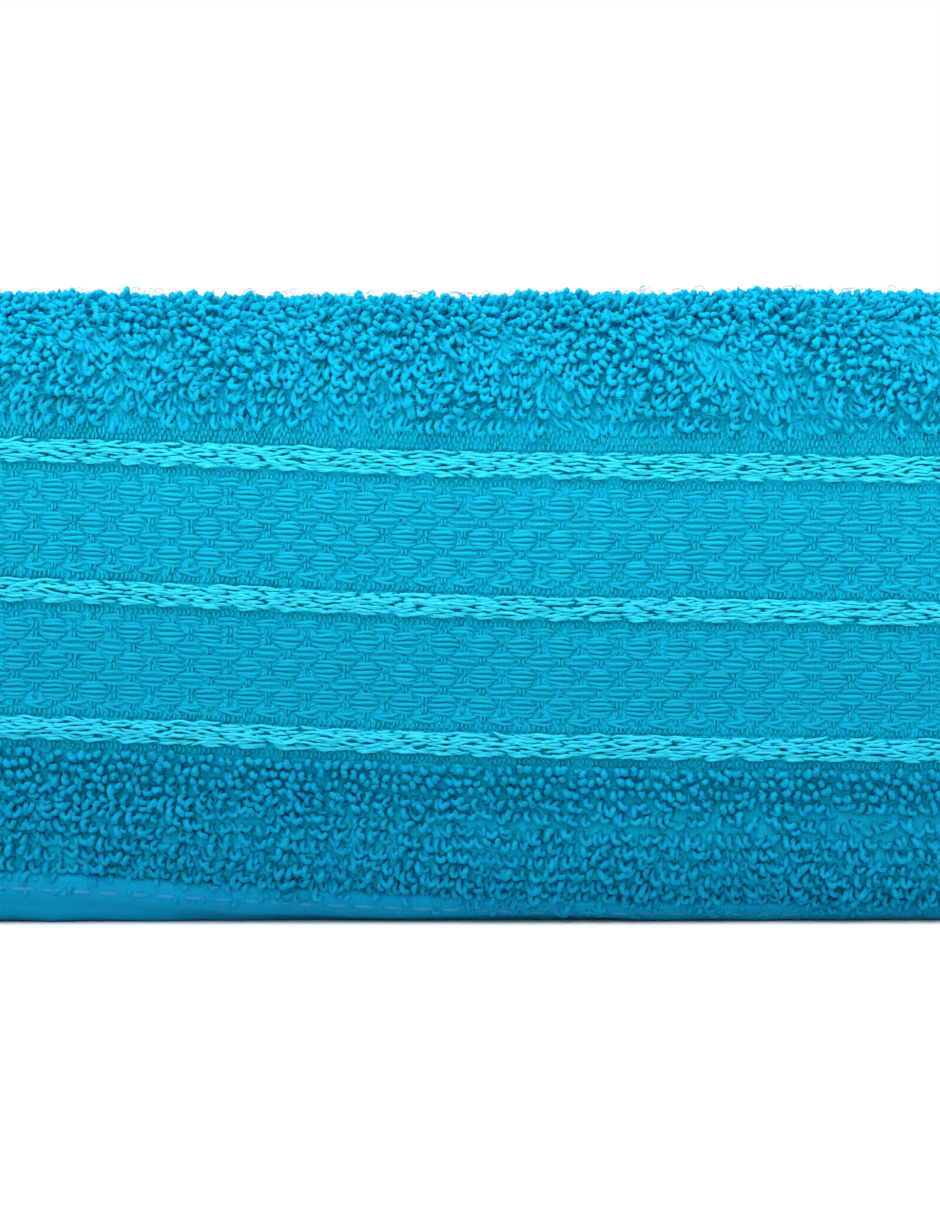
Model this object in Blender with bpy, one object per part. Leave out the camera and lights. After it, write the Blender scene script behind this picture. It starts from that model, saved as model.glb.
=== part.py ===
"""A folded towel set: a bath towel, and beside it a hand towel with a face cloth on top.

Each cloth is folded once across its width, then to and fro along its length. The last leaf of the
bath towel and of the hand towel turns over the top front edge and hangs down the front, with the
woven border and the end hem on show. Metres, +Z up, fronts face -Y.
"""

import math

import bmesh
import bpy

# Cloth thicknesses, one layer each
TERRY_THICKNESS = 0.0052  # pile tips to pile tips
CORD_THICKNESS = 0.0030
BAND_THICKNESS = 0.0022  # flat weave without pile
HEM_THICKNESS = 0.0034  # cloth turned in and sewn

# Cut sizes of the three cloths
BATH_WIDTH = 0.700
BATH_LENGTH = 1.400
BATH_PANELS = 6
HAND_WIDTH = 0.500
HAND_LENGTH = 0.800
HAND_PANELS = 4
FACE_WIDTH = 0.300
FACE_LENGTH = 0.300
FACE_PANELS = 2

# Woven border
CORD_HEIGHT = 0.0026
BATH_BAND_HEIGHT = 0.0113
SMALL_BAND_HEIGHT = 0.0070  # hand towel and face cloth
UPPER_TERRY_HEIGHT = 0.0040  # on the hanging leaf, above the border
FACE_TERRY_HEIGHT = 0.014  # between the face cloth's border and its hem

# Hems, threads and labels
SIDE_HEM_WIDTH = 0.008
END_HEM_WIDTH = 0.010
HEM_RUN = 0.003  # the end hem's last stretch, flat under the front edge
HEM_TURN_SHARE = 0.46  # share of the lower turn that the end hem covers
THREAD_RADIUS = 0.00025
LABEL_WIDTH = 0.025
LABEL_DROP = 0.030
LABEL_THICKNESS = 0.0006

# Turns and clearances
TOP_TURN_RADIUS = 0.012  # outer radius of the top front edge
LAYER_GAP = 0.0004
PART_GAP = 0.0003
LEAF_CLEARANCE = 0.0006  # front leaf's turned-in end to the folds above it
NOSE_CLEARANCE = 0.0005  # folds behind the front leaf to its cords
HINGE_CLEARANCE = 0.0006  # front leaf to the top turn above it, all through the swing
FLOOR_CLEARANCE = 0.0008  # so that the leaf swings clear of the table
PACK_SPACING = 0.012  # bath towel to hand towel

# Smoothness
FOLD_STEPS = 6
SIDE_FOLD_STEPS = 5
THREAD_SIDES = 6

# Derived
HALF_STEP = (TERRY_THICKNESS + LAYER_GAP) / 2  # layer centre to the cloth's own fold plane
DOUBLE = HALF_STEP + TERRY_THICKNESS / 2  # fold plane to the outer pile tips
PANEL_PITCH = 2 * DOUBLE + LAYER_GAP
FOLD_RADIUS = PANEL_PITCH / 2
TOP_RADIUS = TOP_TURN_RADIUS - DOUBLE
LOWER_RADIUS = DOUBLE + LAYER_GAP
HINGE_REACH = 0.53 * TOP_TURN_RADIUS  # hinge axis out from the top turn's centre, each way
SWING_RADIUS = math.hypot(HINGE_REACH, TOP_TURN_RADIUS - HINGE_REACH) + HINGE_CLEARANCE

# Red, green, blue and roughness by kind of piece; a thread's name holds "hem" too, so it comes first
FINISHES = {
    "thread": (0.015, 0.420, 0.620, 0.60),
    "label": (0.800, 0.820, 0.820, 0.60),
    "terry": (0.006, 0.350, 0.565, 0.95),
    "band": (0.007, 0.375, 0.600, 0.80),
    "cord": (0.040, 0.560, 0.720, 0.35),
    "hem": (0.005, 0.320, 0.530, 0.85),
}


def clear_scene():
    for obj in list(bpy.data.objects):
        bpy.data.objects.remove(obj, do_unlink=True)


def material(name):
    """One Principled material for each part, with the finish of its kind."""
    kind = next(key for key in FINISHES if key in name)
    red, green, blue, roughness = FINISHES[kind]
    made = bpy.data.materials.new(name)
    made.use_nodes = True
    shader = made.node_tree.nodes["Principled BSDF"]
    shader.inputs["Base Color"].default_value = (red, green, blue, 1.0)
    shader.inputs["Roughness"].default_value = roughness
    shader.inputs["Metallic"].default_value = 0.0
    return made


def empty(name, location, parent=None):
    made = bpy.data.objects.new(name, None)
    made.location = location
    made.parent = parent
    bpy.context.collection.objects.link(made)
    return made


def solid(name, vertices, faces, parent, origin=(0, 0, 0)):
    """A closed mesh object whose vertices are given in the towel's frame."""
    bm = bmesh.new()
    made = [bm.verts.new([c - o for c, o in zip(point, origin)]) for point in vertices]
    for face in faces:
        bm.faces.new([made[i] for i in face])
    bmesh.ops.recalc_face_normals(bm, faces=bm.faces)
    mesh = bpy.data.meshes.new(name)
    bm.to_mesh(mesh)
    bm.free()
    mesh.shade_smooth()
    mesh.set_sharp_from_angle(angle=math.radians(35))
    mesh.materials.append(material(name))
    obj = bpy.data.objects.new(name, mesh)
    obj.parent = parent
    bpy.context.collection.objects.link(obj)
    return obj


# The fold line of a cloth in the YZ plane: straight runs and arcs, laid end to end.


def turtle_path(y, z, moves):
    """Stations (distance, y, z, heading) along straight runs and arcs that start towards +Y."""
    heading = 0.0
    distance = 0.0
    stations = [(distance, y, z, heading)]
    for length, turn in moves:
        steps = FOLD_STEPS if turn else 1
        for _ in range(steps):
            half = turn / steps / 2
            stride = length / steps
            chord = stride * math.sin(half) / half if turn else stride
            y += chord * math.cos(heading + half)
            z += chord * math.sin(heading + half)
            heading += 2 * half
            distance += stride
            stations.append((distance, y, z, heading))
    return stations


def station_at(stations, distance):
    """The station at a distance, between two stations of a straight run or an arc."""
    for before, after in zip(stations, stations[1:]):
        if distance <= after[0]:
            share = (distance - before[0]) / (after[0] - before[0])
            turn = (after[3] - before[3]) * share
            length = distance - before[0]
            half = turn / 2
            chord = length * math.sin(half) / half if abs(half) > 1e-9 else length
            y = before[1] + chord * math.cos(before[3] + half)
            z = before[2] + chord * math.sin(before[3] + half)
            return (distance, y, z, before[3] + turn)
    return stations[-1]


def stretch(stations, start, end):
    """The stations from start to end, with exact ends."""
    tiny = 1e-6
    inner = [s for s in stations if start + tiny < s[0] < end - tiny]
    return [station_at(stations, start), *inner, station_at(stations, end)]


def place(station, x, height):
    """A point at x across the cloth and height out from the fold line."""
    _, y, z, heading = station
    return (x, y + height * math.sin(heading), z - height * math.cos(heading))


def sweep(profile, stations):
    """Vertices and faces of a profile carried along stations, with capped ends.

    The profile's first half runs one way and its second half comes back beside it.
    """
    count = len(profile)
    vertices = [place(s, x, height) for s in stations for x, height in profile]
    faces = []
    for row in (0, len(stations) - 1):
        first, last = row * count, (row + 1) * count - 1
        faces += [[first + i, first + i + 1, last - i - 1, last - i] for i in range(count // 2 - 1)]
    for row in range(len(stations) - 1):
        for i in range(count):
            j = (i + 1) % count
            low, high = row * count, (row + 1) * count
            faces.append([low + i, low + j, high + j, high + i])
    return vertices, faces


def double_profile(towel, thickness):
    """Two layers joined by the fold at the cloth's middle, cut back to the side hems."""
    side = towel["fold_side"]
    hem_edge = -side * (towel["width"] / 4 - SIDE_HEM_WIDTH - PART_GAP)
    fold_centre = side * (towel["width"] / 4 - DOUBLE)
    outer = HALF_STEP + thickness / 2
    inner = HALF_STEP - thickness / 2
    points = [(hem_edge, outer)]
    for step in range(SIDE_FOLD_STEPS + 1):
        angle = math.pi / 2 - math.pi * step / SIDE_FOLD_STEPS
        points.append((fold_centre + side * outer * math.cos(angle), outer * math.sin(angle)))
    points += [(hem_edge, -outer), (hem_edge, -inner)]
    for step in range(SIDE_FOLD_STEPS + 1):
        angle = math.pi * step / SIDE_FOLD_STEPS - math.pi / 2
        points.append((fold_centre + side * inner * math.cos(angle), inner * math.sin(angle)))
    points.append((hem_edge, inner))
    return points


def side_hem_profile(towel, layer):
    """The sewn edge of one layer: +1 for the outer layer of the front leaf, -1 for the inner."""
    edge = -towel["fold_side"] * towel["width"] / 4
    inside = edge + towel["fold_side"] * SIDE_HEM_WIDTH
    low = layer * HALF_STEP - HEM_THICKNESS / 2
    high = layer * HALF_STEP + HEM_THICKNESS / 2
    return [(edge, low), (inside, low), (inside, high), (edge, high)]


def hollow_top(towel, shape, count):
    """The shape with its first row on an arc round the hinge, outside all of the top turn."""
    vertices, faces = shape
    _, hinge_y, hinge_z = towel["hinge"]
    for i in range(count):
        x, y, _ = vertices[i]
        vertices[i] = (x, y, hinge_z - math.sqrt(SWING_RADIUS**2 - (y - hinge_y) ** 2))
    return vertices, faces


def rod(start, end, radius):
    """Vertices and faces of a straight thread from start to end, which differ along one axis."""
    axis = max(range(3), key=lambda i: abs(end[i] - start[i]))
    across = [i for i in range(3) if i != axis]
    vertices = []
    for centre in (start, end):
        for k in range(THREAD_SIDES):
            angle = 2 * math.pi * k / THREAD_SIDES
            point = list(centre)
            point[across[0]] += radius * math.cos(angle)
            point[across[1]] += radius * math.sin(angle)
            vertices.append(tuple(point))
    faces = [list(range(THREAD_SIDES)), list(range(THREAD_SIDES, 2 * THREAD_SIDES))]
    for k in range(THREAD_SIDES):
        following = (k + 1) % THREAD_SIDES
        faces.append([k, following, THREAD_SIDES + following, THREAD_SIDES + k])
    return vertices, faces


def box(low, high):
    """Vertices and faces of an upright box."""
    vertices = [(x, y, z) for x in (low[0], high[0]) for y in (low[1], high[1]) for z in (low[2], high[2])]
    faces = [(0, 1, 3, 2), (4, 5, 7, 6), (0, 1, 5, 4), (2, 3, 7, 6), (0, 2, 6, 4), (1, 3, 7, 5)]
    return vertices, faces


def pack_height(panels):
    return panels * PANEL_PITCH - LAYER_GAP


def hanging_moves(towel):
    """The cloth's way over the top front edge, down the front and in under it."""
    drop = pack_height(towel["panels"]) - TOP_TURN_RADIUS - FLOOR_CLEARANCE - LOWER_RADIUS - DOUBLE
    quarter = math.pi / 2
    return [
        (TOP_RADIUS * quarter, quarter),
        (drop, 0.0),
        (LOWER_RADIUS * quarter, quarter),
        (HEM_RUN, 0.0),
    ]


def folding_moves(towel):
    """Runs and turns of the whole cloth, from its hidden end to its shown end."""
    panels = towel["panels"]
    turn = math.pi * FOLD_RADIUS
    nose = FOLD_RADIUS + DOUBLE  # a front fold's reach in front of its centre
    tail = hanging_moves(towel) if towel["hangs"] else []
    first = nose - (LOWER_RADIUS + HEM_RUN - DOUBLE + 2 * LEAF_CLEARANCE) if towel["hangs"] else 0.0
    set_back = (TERRY_THICKNESS - CORD_THICKNESS) / 2 - NOSE_CLEARANCE  # terry stands thicker than the cords
    last = nose - set_back - TOP_RADIUS + DOUBLE if towel["hangs"] else 0.0
    spare = towel["length"] - (panels - 1) * turn - first - last - sum(length for length, _ in tail)
    run = spare / panels
    runs = [run] * panels
    runs[0] += first
    runs[-1] += last
    moves = []
    for index, length in enumerate(runs):
        moves.append((length, 0.0))
        if index < panels - 1:
            moves.append((turn, math.pi if index % 2 == 0 else -math.pi))
    return moves + tail, run, first


def make_frame(towel):
    """An empty for the towel and, where its last leaf hangs, one on that leaf's hinge axis."""
    moves, run, first = folding_moves(towel)
    towel["stations"] = turtle_path(-run / 2 - first, DOUBLE, moves)
    towel["total"] = towel["stations"][-1][0]
    towel["empty"] = empty(towel["name"] + "_place", (towel["x"], 0.0, towel["z"]), towel["parent"])
    towel["leaf_empty"] = towel["empty"]
    towel["hinge"] = (0.0, 0.0, 0.0)
    if not towel["hangs"]:
        return
    hanging = hanging_moves(towel)
    towel["turn_start"] = towel["total"] - sum(length for length, _ in hanging)
    towel["turn_end"] = towel["turn_start"] + hanging[0][0]
    towel["lower_turn"] = towel["turn_end"] + hanging[1][0]
    _, turn_y, top_line, _ = station_at(towel["stations"], towel["turn_start"])
    towel["hinge"] = (0.0, turn_y - HINGE_REACH, top_line - TOP_RADIUS + HINGE_REACH)
    towel["leaf_top"] = towel["turn_end"] + HINGE_CLEARANCE
    towel["leaf_empty"] = empty(towel["name"] + "_leaf_hinge", towel["hinge"], towel["empty"])


def cloth_piece(towel, name, thickness, start, end, on_leaf=False):
    """A stretch of the doubled cloth from start to end along its length."""
    profile = double_profile(towel, thickness)
    shape = sweep(profile, stretch(towel["stations"], start, end))
    if on_leaf and start == towel["leaf_top"]:
        shape = hollow_top(towel, shape, len(profile))
    parent = towel["leaf_empty"] if on_leaf else towel["empty"]
    origin = towel["hinge"] if on_leaf else (0.0, 0.0, 0.0)
    solid(towel["name"] + "_" + name, *shape, parent, origin)


def side_hems(towel, names, start, end, on_leaf=False):
    """The two sewn long edges of the cloth, which lie one over the other."""
    parent = towel["leaf_empty"] if on_leaf else towel["empty"]
    origin = towel["hinge"] if on_leaf else (0.0, 0.0, 0.0)
    for name, layer in zip(names, (1, -1)):
        profile = side_hem_profile(towel, layer)
        shape = sweep(profile, stretch(towel["stations"], start, end))
        if on_leaf:
            shape = hollow_top(towel, shape, len(profile))
        solid(towel["name"] + "_" + name, *shape, parent, origin)


def border(towel, start, on_leaf):
    """Cords with flat bands between them, from start towards the hem. Returns where it ends."""
    at = start
    for kind, name in towel["border"]:
        height = CORD_HEIGHT if kind == "cord" else towel["band_height"]
        thickness = CORD_THICKNESS if kind == "cord" else BAND_THICKNESS
        cloth_piece(towel, name, thickness, at, at + height, on_leaf)
        at += height + PART_GAP
    return at


def border_height(towel):
    heights = [CORD_HEIGHT if kind == "cord" else towel["band_height"] for kind, _ in towel["border"]]
    return sum(heights) + PART_GAP * (len(heights) + 1)


def hidden_end(towel):
    """The cloth's other end, inside the pack, woven the same way. Returns where the terry starts."""
    at = END_HEM_WIDTH
    cloth_piece(towel, "inner_hem", HEM_THICKNESS, 0.0, at)
    terry_end = at + PART_GAP + FACE_TERRY_HEIGHT
    cloth_piece(towel, "inner_terry", TERRY_THICKNESS, at + PART_GAP, terry_end)
    band_end = terry_end + PART_GAP + border_height(towel)
    cloth_piece(towel, "inner_border_band", BAND_THICKNESS, terry_end + PART_GAP, band_end)
    return band_end + PART_GAP


def hem_thread(towel, distance, on_leaf):
    """The seam along the end hem, on the outer face."""
    station = station_at(towel["stations"], distance)
    height = HALF_STEP + HEM_THICKNESS / 2 + PART_GAP + THREAD_RADIUS
    reach = towel["width"] / 4 - DOUBLE
    start = place(station, -reach, height)
    end = place(station, reach, height)
    parent = towel["leaf_empty"] if on_leaf else towel["empty"]
    origin = towel["hinge"] if on_leaf else (0.0, 0.0, 0.0)
    solid(towel["name"] + "_hem_thread", *rod(start, end, THREAD_RADIUS), parent, origin)


def side_thread(towel, start, end):
    """The seam along the side hem, on the top panel."""
    x = -towel["fold_side"] * (towel["width"] / 4 - SIDE_HEM_WIDTH * 0.8)
    height = HALF_STEP + HEM_THICKNESS / 2 + PART_GAP + THREAD_RADIUS
    ends = [place(station_at(towel["stations"], at), x, height) for at in (start, end)]
    solid(towel["name"] + "_side_thread", *rod(*ends, THREAD_RADIUS), towel["empty"])


def care_label(towel):
    """A blank label that hangs from the side hem of the top panel."""
    side = -towel["fold_side"]
    face = side * (towel["width"] / 4 + PART_GAP)
    outside = face + side * LABEL_THICKNESS
    top = pack_height(towel["panels"]) - DOUBLE
    drop = min(LABEL_DROP, top - DOUBLE)
    low = (min(face, outside), -LABEL_WIDTH / 2, top - drop)
    high = (max(face, outside), LABEL_WIDTH / 2, top)
    solid(towel["name"] + "_care_label", *box(low, high), towel["empty"])


def hanging_towel(towel):
    """A towel whose last leaf turns over the front edge and hangs there."""
    make_frame(towel)
    terry_start = hidden_end(towel)
    turn_start, turn_end, total = towel["turn_start"], towel["turn_end"], towel["total"]
    cloth_piece(towel, "terry_body", TERRY_THICKNESS, terry_start, turn_start - PART_GAP)
    cloth_piece(towel, "top_turn_terry", TERRY_THICKNESS, turn_start, turn_end)
    side_hems(towel, ("side_hem_upper", "side_hem_lower"), 0.0, turn_end)
    side_thread(towel, turn_start - towel["thread_run"], turn_start)
    care_label(towel)
    leaf_top = towel["leaf_top"]
    hem_start = total - HEM_RUN - HEM_TURN_SHARE * LOWER_RADIUS * math.pi / 2
    upper_end = leaf_top + UPPER_TERRY_HEIGHT
    cloth_piece(towel, "leaf_terry_upper", TERRY_THICKNESS, leaf_top, upper_end, True)
    lower_start = border(towel, upper_end + PART_GAP, True)
    cloth_piece(towel, "leaf_terry_lower", TERRY_THICKNESS, lower_start, hem_start - PART_GAP, True)
    cloth_piece(towel, "leaf_hem", HEM_THICKNESS, hem_start, total, True)
    side_hems(towel, ("leaf_side_hem_outer", "leaf_side_hem_inner"), leaf_top, total, True)
    hem_thread(towel, hem_start + HEM_RUN / 3, True)


def flat_cloth(towel):
    """A cloth folded in four, whose border lies on the top near the front edge."""
    make_frame(towel)
    terry_start = hidden_end(towel)
    total = towel["total"]
    hem_start = total - END_HEM_WIDTH
    lower_end = hem_start - PART_GAP
    lower_start = lower_end - FACE_TERRY_HEIGHT
    border_start = lower_start - border_height(towel) + PART_GAP
    cloth_piece(towel, "terry_body", TERRY_THICKNESS, terry_start, border_start - PART_GAP)
    border(towel, border_start, False)
    cloth_piece(towel, "front_terry", TERRY_THICKNESS, lower_start, lower_end)
    cloth_piece(towel, "front_hem", HEM_THICKNESS, hem_start, total)
    side_hems(towel, ("side_hem_upper", "side_hem_lower"), 0.0, total)
    hem_thread(towel, hem_start + HEM_RUN / 3, False)
    side_thread(towel, total - towel["thread_run"], total - END_HEM_WIDTH)
    care_label(towel)


def centre_on_floor(root):
    """Puts the origin under the middle of the whole set."""
    bpy.context.view_layer.update()
    points = []
    for obj in bpy.data.objects:
        if obj.type == "MESH":
            points += [obj.matrix_world @ vertex.co for vertex in obj.data.vertices]
    for axis in range(2):
        values = [point[axis] for point in points]
        root.location[axis] -= (min(values) + max(values)) / 2
    root.location[2] -= min(point[2] for point in points)


def make_set():
    root = empty("towel_set", (0.0, 0.0, 0.0))
    two_cords = [("cord", "cord_upper"), ("band", "band"), ("cord", "cord_lower")]
    bath = {
        "name": "bath",
        "width": BATH_WIDTH,
        "length": BATH_LENGTH,
        "panels": BATH_PANELS,
        "hangs": True,
        "fold_side": 1,
        "band_height": BATH_BAND_HEIGHT,
        "border": [
            ("cord", "cord_upper"),
            ("band", "band_upper"),
            ("cord", "cord_middle"),
            ("band", "band_lower"),
            ("cord", "cord_lower"),
        ],
        "thread_run": BATH_LENGTH / (BATH_PANELS + 1),
        "x": 0.0,
        "z": 0.0,
        "parent": root,
    }
    hand = {
        "name": "hand",
        "width": HAND_WIDTH,
        "length": HAND_LENGTH,
        "panels": HAND_PANELS,
        "hangs": True,
        "fold_side": -1,
        "band_height": SMALL_BAND_HEIGHT,
        "border": two_cords,
        "thread_run": HAND_LENGTH / (HAND_PANELS + 1),
        "x": BATH_WIDTH / 4 + PACK_SPACING + HAND_WIDTH / 4,
        "z": 0.0,
        "parent": root,
    }
    hanging_towel(bath)
    hanging_towel(hand)
    face = {
        "name": "face",
        "width": FACE_WIDTH,
        "length": FACE_LENGTH,
        "panels": FACE_PANELS,
        "hangs": False,
        "fold_side": 1,
        "band_height": SMALL_BAND_HEIGHT,
        "border": two_cords,
        "thread_run": FACE_LENGTH / (FACE_PANELS + 1),
        "x": 0.0,
        "z": pack_height(HAND_PANELS) + PART_GAP,
        "parent": hand["empty"],
    }
    flat_cloth(face)
    centre_on_floor(root)


clear_scene()
make_set()
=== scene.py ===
import math
import bpy
import numpy as np
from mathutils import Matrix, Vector


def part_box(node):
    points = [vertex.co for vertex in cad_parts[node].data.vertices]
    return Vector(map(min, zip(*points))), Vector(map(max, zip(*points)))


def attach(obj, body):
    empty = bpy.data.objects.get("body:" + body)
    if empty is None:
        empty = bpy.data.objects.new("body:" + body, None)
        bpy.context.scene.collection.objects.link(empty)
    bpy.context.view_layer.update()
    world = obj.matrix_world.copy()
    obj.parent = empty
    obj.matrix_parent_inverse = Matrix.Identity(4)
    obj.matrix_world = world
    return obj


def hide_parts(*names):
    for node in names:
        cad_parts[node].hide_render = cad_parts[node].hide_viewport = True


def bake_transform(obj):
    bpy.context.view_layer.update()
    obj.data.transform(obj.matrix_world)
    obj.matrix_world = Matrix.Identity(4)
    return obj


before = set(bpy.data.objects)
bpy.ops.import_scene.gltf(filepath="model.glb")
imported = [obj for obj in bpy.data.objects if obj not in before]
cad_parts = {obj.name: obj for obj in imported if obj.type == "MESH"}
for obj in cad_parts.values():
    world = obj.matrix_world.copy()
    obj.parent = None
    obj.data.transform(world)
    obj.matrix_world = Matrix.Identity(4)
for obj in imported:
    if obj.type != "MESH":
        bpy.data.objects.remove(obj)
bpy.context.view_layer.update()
scene = bpy.context.scene
scene.view_settings.view_transform = "Standard"
print("scene: frame loaded")


# the cloth that all three pieces are cut from, in metres

weave = {
    "terry": 0.0052,  # pile tips to pile tips
    "ground": 0.0014,  # woven ground under the pile
    "borderGround": 0.0019,
    "hem": 0.0034,
    "layerGap": 0.0004,
    "leafClearance": 0.0006,
    "floorClearance": 0.0008,
    "topTurn": 0.012,  # outer radius of the top front edge
    "hemRun": 0.003,
    "hemTurnShare": 0.46,
    "sideHem": 0.008,
    "partGap": 0.0003,
    "cordHeight": 0.0026,
    "upperTerry": 0.0040,
    "hingeClearance": 0.0006,
    "repeat": 0.0041,  # one weave repeat, eight warp ends
    "stripAbove": 0.0019,  # plain weave between the pile and the first cord
    "stripBelow": 0.0006,
    "pileGap": 0.0021,  # where the pile above the border stops
    "stitch": 0.0030,
}
halfStep = (weave["terry"] + weave["layerGap"]) / 2
double = halfStep + weave["terry"] / 2
panelPitch = 2 * double + weave["layerGap"]
foldRadius = panelPitch / 2
topRadius = weave["topTurn"] - double
lowerRadius = double + weave["layerGap"]

bath = {
    "name": "bath", "body": "bath_towel", "leafBody": "bath_leaf",
    "cut": (0.700, 1.400), "panels": 6, "hangs": True, "foldSide": 1,
    "bandHeight": 0.0113, "bands": 2, "drift": 0.0017, "driftLength": 0.34, "seed": 11,
    "frontRise": 0.0013,
}
hand = {
    "name": "hand", "body": "hand_towel", "leafBody": "hand_leaf",
    "cut": (0.500, 0.800), "panels": 4, "hangs": True, "foldSide": -1,
    "bandHeight": 0.0070, "bands": 1, "drift": 0.0008, "driftLength": 0.21, "seed": 23,
    "frontRise": 0.0003,
}
face = {
    "name": "face", "body": "face_cloth", "leafBody": "face_cloth",
    "cut": (0.300, 0.300), "panels": 2, "hangs": False, "foldSide": 1,
    "bandHeight": 0.0070, "bands": 1, "drift": 0.0005, "driftLength": 0.16, "seed": 37,
}
towels = [bath, hand, face]


# the fold line of each cloth: straight runs and arcs laid end to end

def hangingMoves(towel):
    height = towel["panels"] * panelPitch - weave["layerGap"]
    drop = height - weave["topTurn"] - weave["floorClearance"] - lowerRadius - double
    quarter = math.pi / 2
    return [
        (topRadius * quarter, quarter), (drop, 0.0),
        (lowerRadius * quarter, quarter), (weave["hemRun"], 0.0),
    ]


def foldLine(towel):
    panels = towel["panels"]
    turn = math.pi * foldRadius
    nose = foldRadius + double
    hanging = hangingMoves(towel) if towel["hangs"] else []
    hangs = 1 if towel["hangs"] else 0
    first = hangs * (nose - (lowerRadius + weave["hemRun"] - double + 2 * weave["leafClearance"]))
    last = hangs * (nose - weave["leafClearance"] - topRadius + double)
    tail = sum(length for length, _ in hanging)
    run = (towel["cut"][1] - (panels - 1) * turn - first - last - tail) / panels
    moves = []
    for index in range(panels):
        moves.append((run + (first if index == 0 else 0) + (last if index == panels - 1 else 0), 0.0))
        if index < panels - 1:
            moves.append((turn, math.pi if index % 2 == 0 else -math.pi))
    moves += hanging
    rows = []
    s, y, z, heading = 0.0, -run / 2 - first, double, 0.0
    for length, angle in moves:
        curve = angle / length
        rows.append((s, y, z, heading, curve))
        if angle:
            y += (math.sin(heading + angle) - math.sin(heading)) / curve
            z -= (math.cos(heading + angle) - math.cos(heading)) / curve
        else:
            y += length * math.cos(heading)
            z += length * math.sin(heading)
        heading += angle
        s += length
    towel["line"] = np.array(rows)
    towel["total"] = s
    towel["tail"] = tail
    towel["run"] = run


def lineAt(towel, s):
    line = towel["line"]
    row = line[np.clip(np.searchsorted(line[:, 0], s, side="right") - 1, 0, len(line) - 1)]
    along = s - row[..., 0]
    start, curve = row[..., 3], row[..., 4]
    heading = start + curve * along
    bent = np.abs(curve) > 1e-9
    safe = np.where(bent, curve, 1.0)
    y = row[..., 1] + np.where(bent, (np.sin(heading) - np.sin(start)) / safe, along * np.cos(start))
    z = row[..., 2] - np.where(bent, (np.cos(heading) - np.cos(start)) / safe, -along * np.sin(start))
    return y, z, heading


def ease(value, low, high):
    t = np.clip((value - low) / (high - low), 0, 1)
    return t * t * (3 - 2 * t)


def placeTowel(towel):
    foldLine(towel)
    width = towel["cut"][0]
    towel["half"] = width / 4
    towel["flatRun"] = width / 2 - double  # sewn edge to the start of the width fold
    towel["around"] = 2 * towel["flatRun"] + math.pi * halfStep
    low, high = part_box(towel["name"] + "_terry_body")
    side = towel["foldSide"]
    foldEdge = high.x if side > 0 else low.x
    towel["x"] = foldEdge - side * towel["half"]
    towel["z"] = low.z
    towel["y"] = 0.0
    if towel["hangs"]:
        leafLow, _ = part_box(towel["name"] + "_leaf_terry_upper")
        towel["turnStart"] = towel["total"] - towel["tail"]
        towel["turnEnd"] = towel["turnStart"] + topRadius * math.pi / 2
        y, _, _ = lineAt(towel, np.array(towel["turnEnd"] + 0.001))
        towel["y"] = leafLow.y - (float(y) - double)
        y, z, _ = lineAt(towel, np.array(towel["turnStart"]))
        towel["turnY"] = float(y) + towel["y"]
        towel["turnZ"] = float(z) + towel["z"] - topRadius
    else:
        hemLow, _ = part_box(towel["name"] + "_front_hem")
        y, _, _ = lineAt(towel, np.array(towel["total"]))
        towel["y"] = hemLow.y - float(y)
    towel["top"] = towel["z"] + towel["panels"] * panelPitch - weave["layerGap"]
    if towel["hangs"]:
        towel["borderStart"] = (
            towel["turnEnd"] + weave["hingeClearance"] + weave["upperTerry"] + weave["partGap"]
        )
        towel["hemStart"] = (
            towel["total"] - weave["hemRun"] - weave["hemTurnShare"] * lowerRadius * math.pi / 2
        )
    else:
        low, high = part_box(towel["name"] + "_cord_upper")
        y, _, _ = lineAt(towel, np.array(towel["total"]))
        towel["borderStart"] = towel["total"] - (high.y - towel["y"] - float(y))
        towel["hemStart"] = towel["total"] - 0.010
    at = towel["borderStart"]
    towel["cords"], towel["bandZones"] = [], []
    for index in range(towel["bands"] + 1):
        towel["cords"].append(at + weave["cordHeight"] / 2)
        at += weave["cordHeight"]
        if index < towel["bands"]:
            towel["bandZones"].append((at + weave["partGap"], at + weave["partGap"] + towel["bandHeight"]))
            at += towel["bandHeight"] + 2 * weave["partGap"]
    towel["borderEnd"] = at


for towel in towels:
    placeTowel(towel)
print("scene: towels placed", [round(towel["top"] * 1000, 1) for towel in towels])


# where a point of the cloth lies: s along it, a across the doubled width, off from its layer

settle = {
    "rise": 0.0007,  # gentle swell of the top
    "edgeShift": 0.0012,  # folds that don't quite line up
    "leafWave": 0.00035,
    "sag": 0.0024,  # the front leaf's lower edge rests on the table
    "spread": 0.0030,  # and spreads forward there
}


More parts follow.
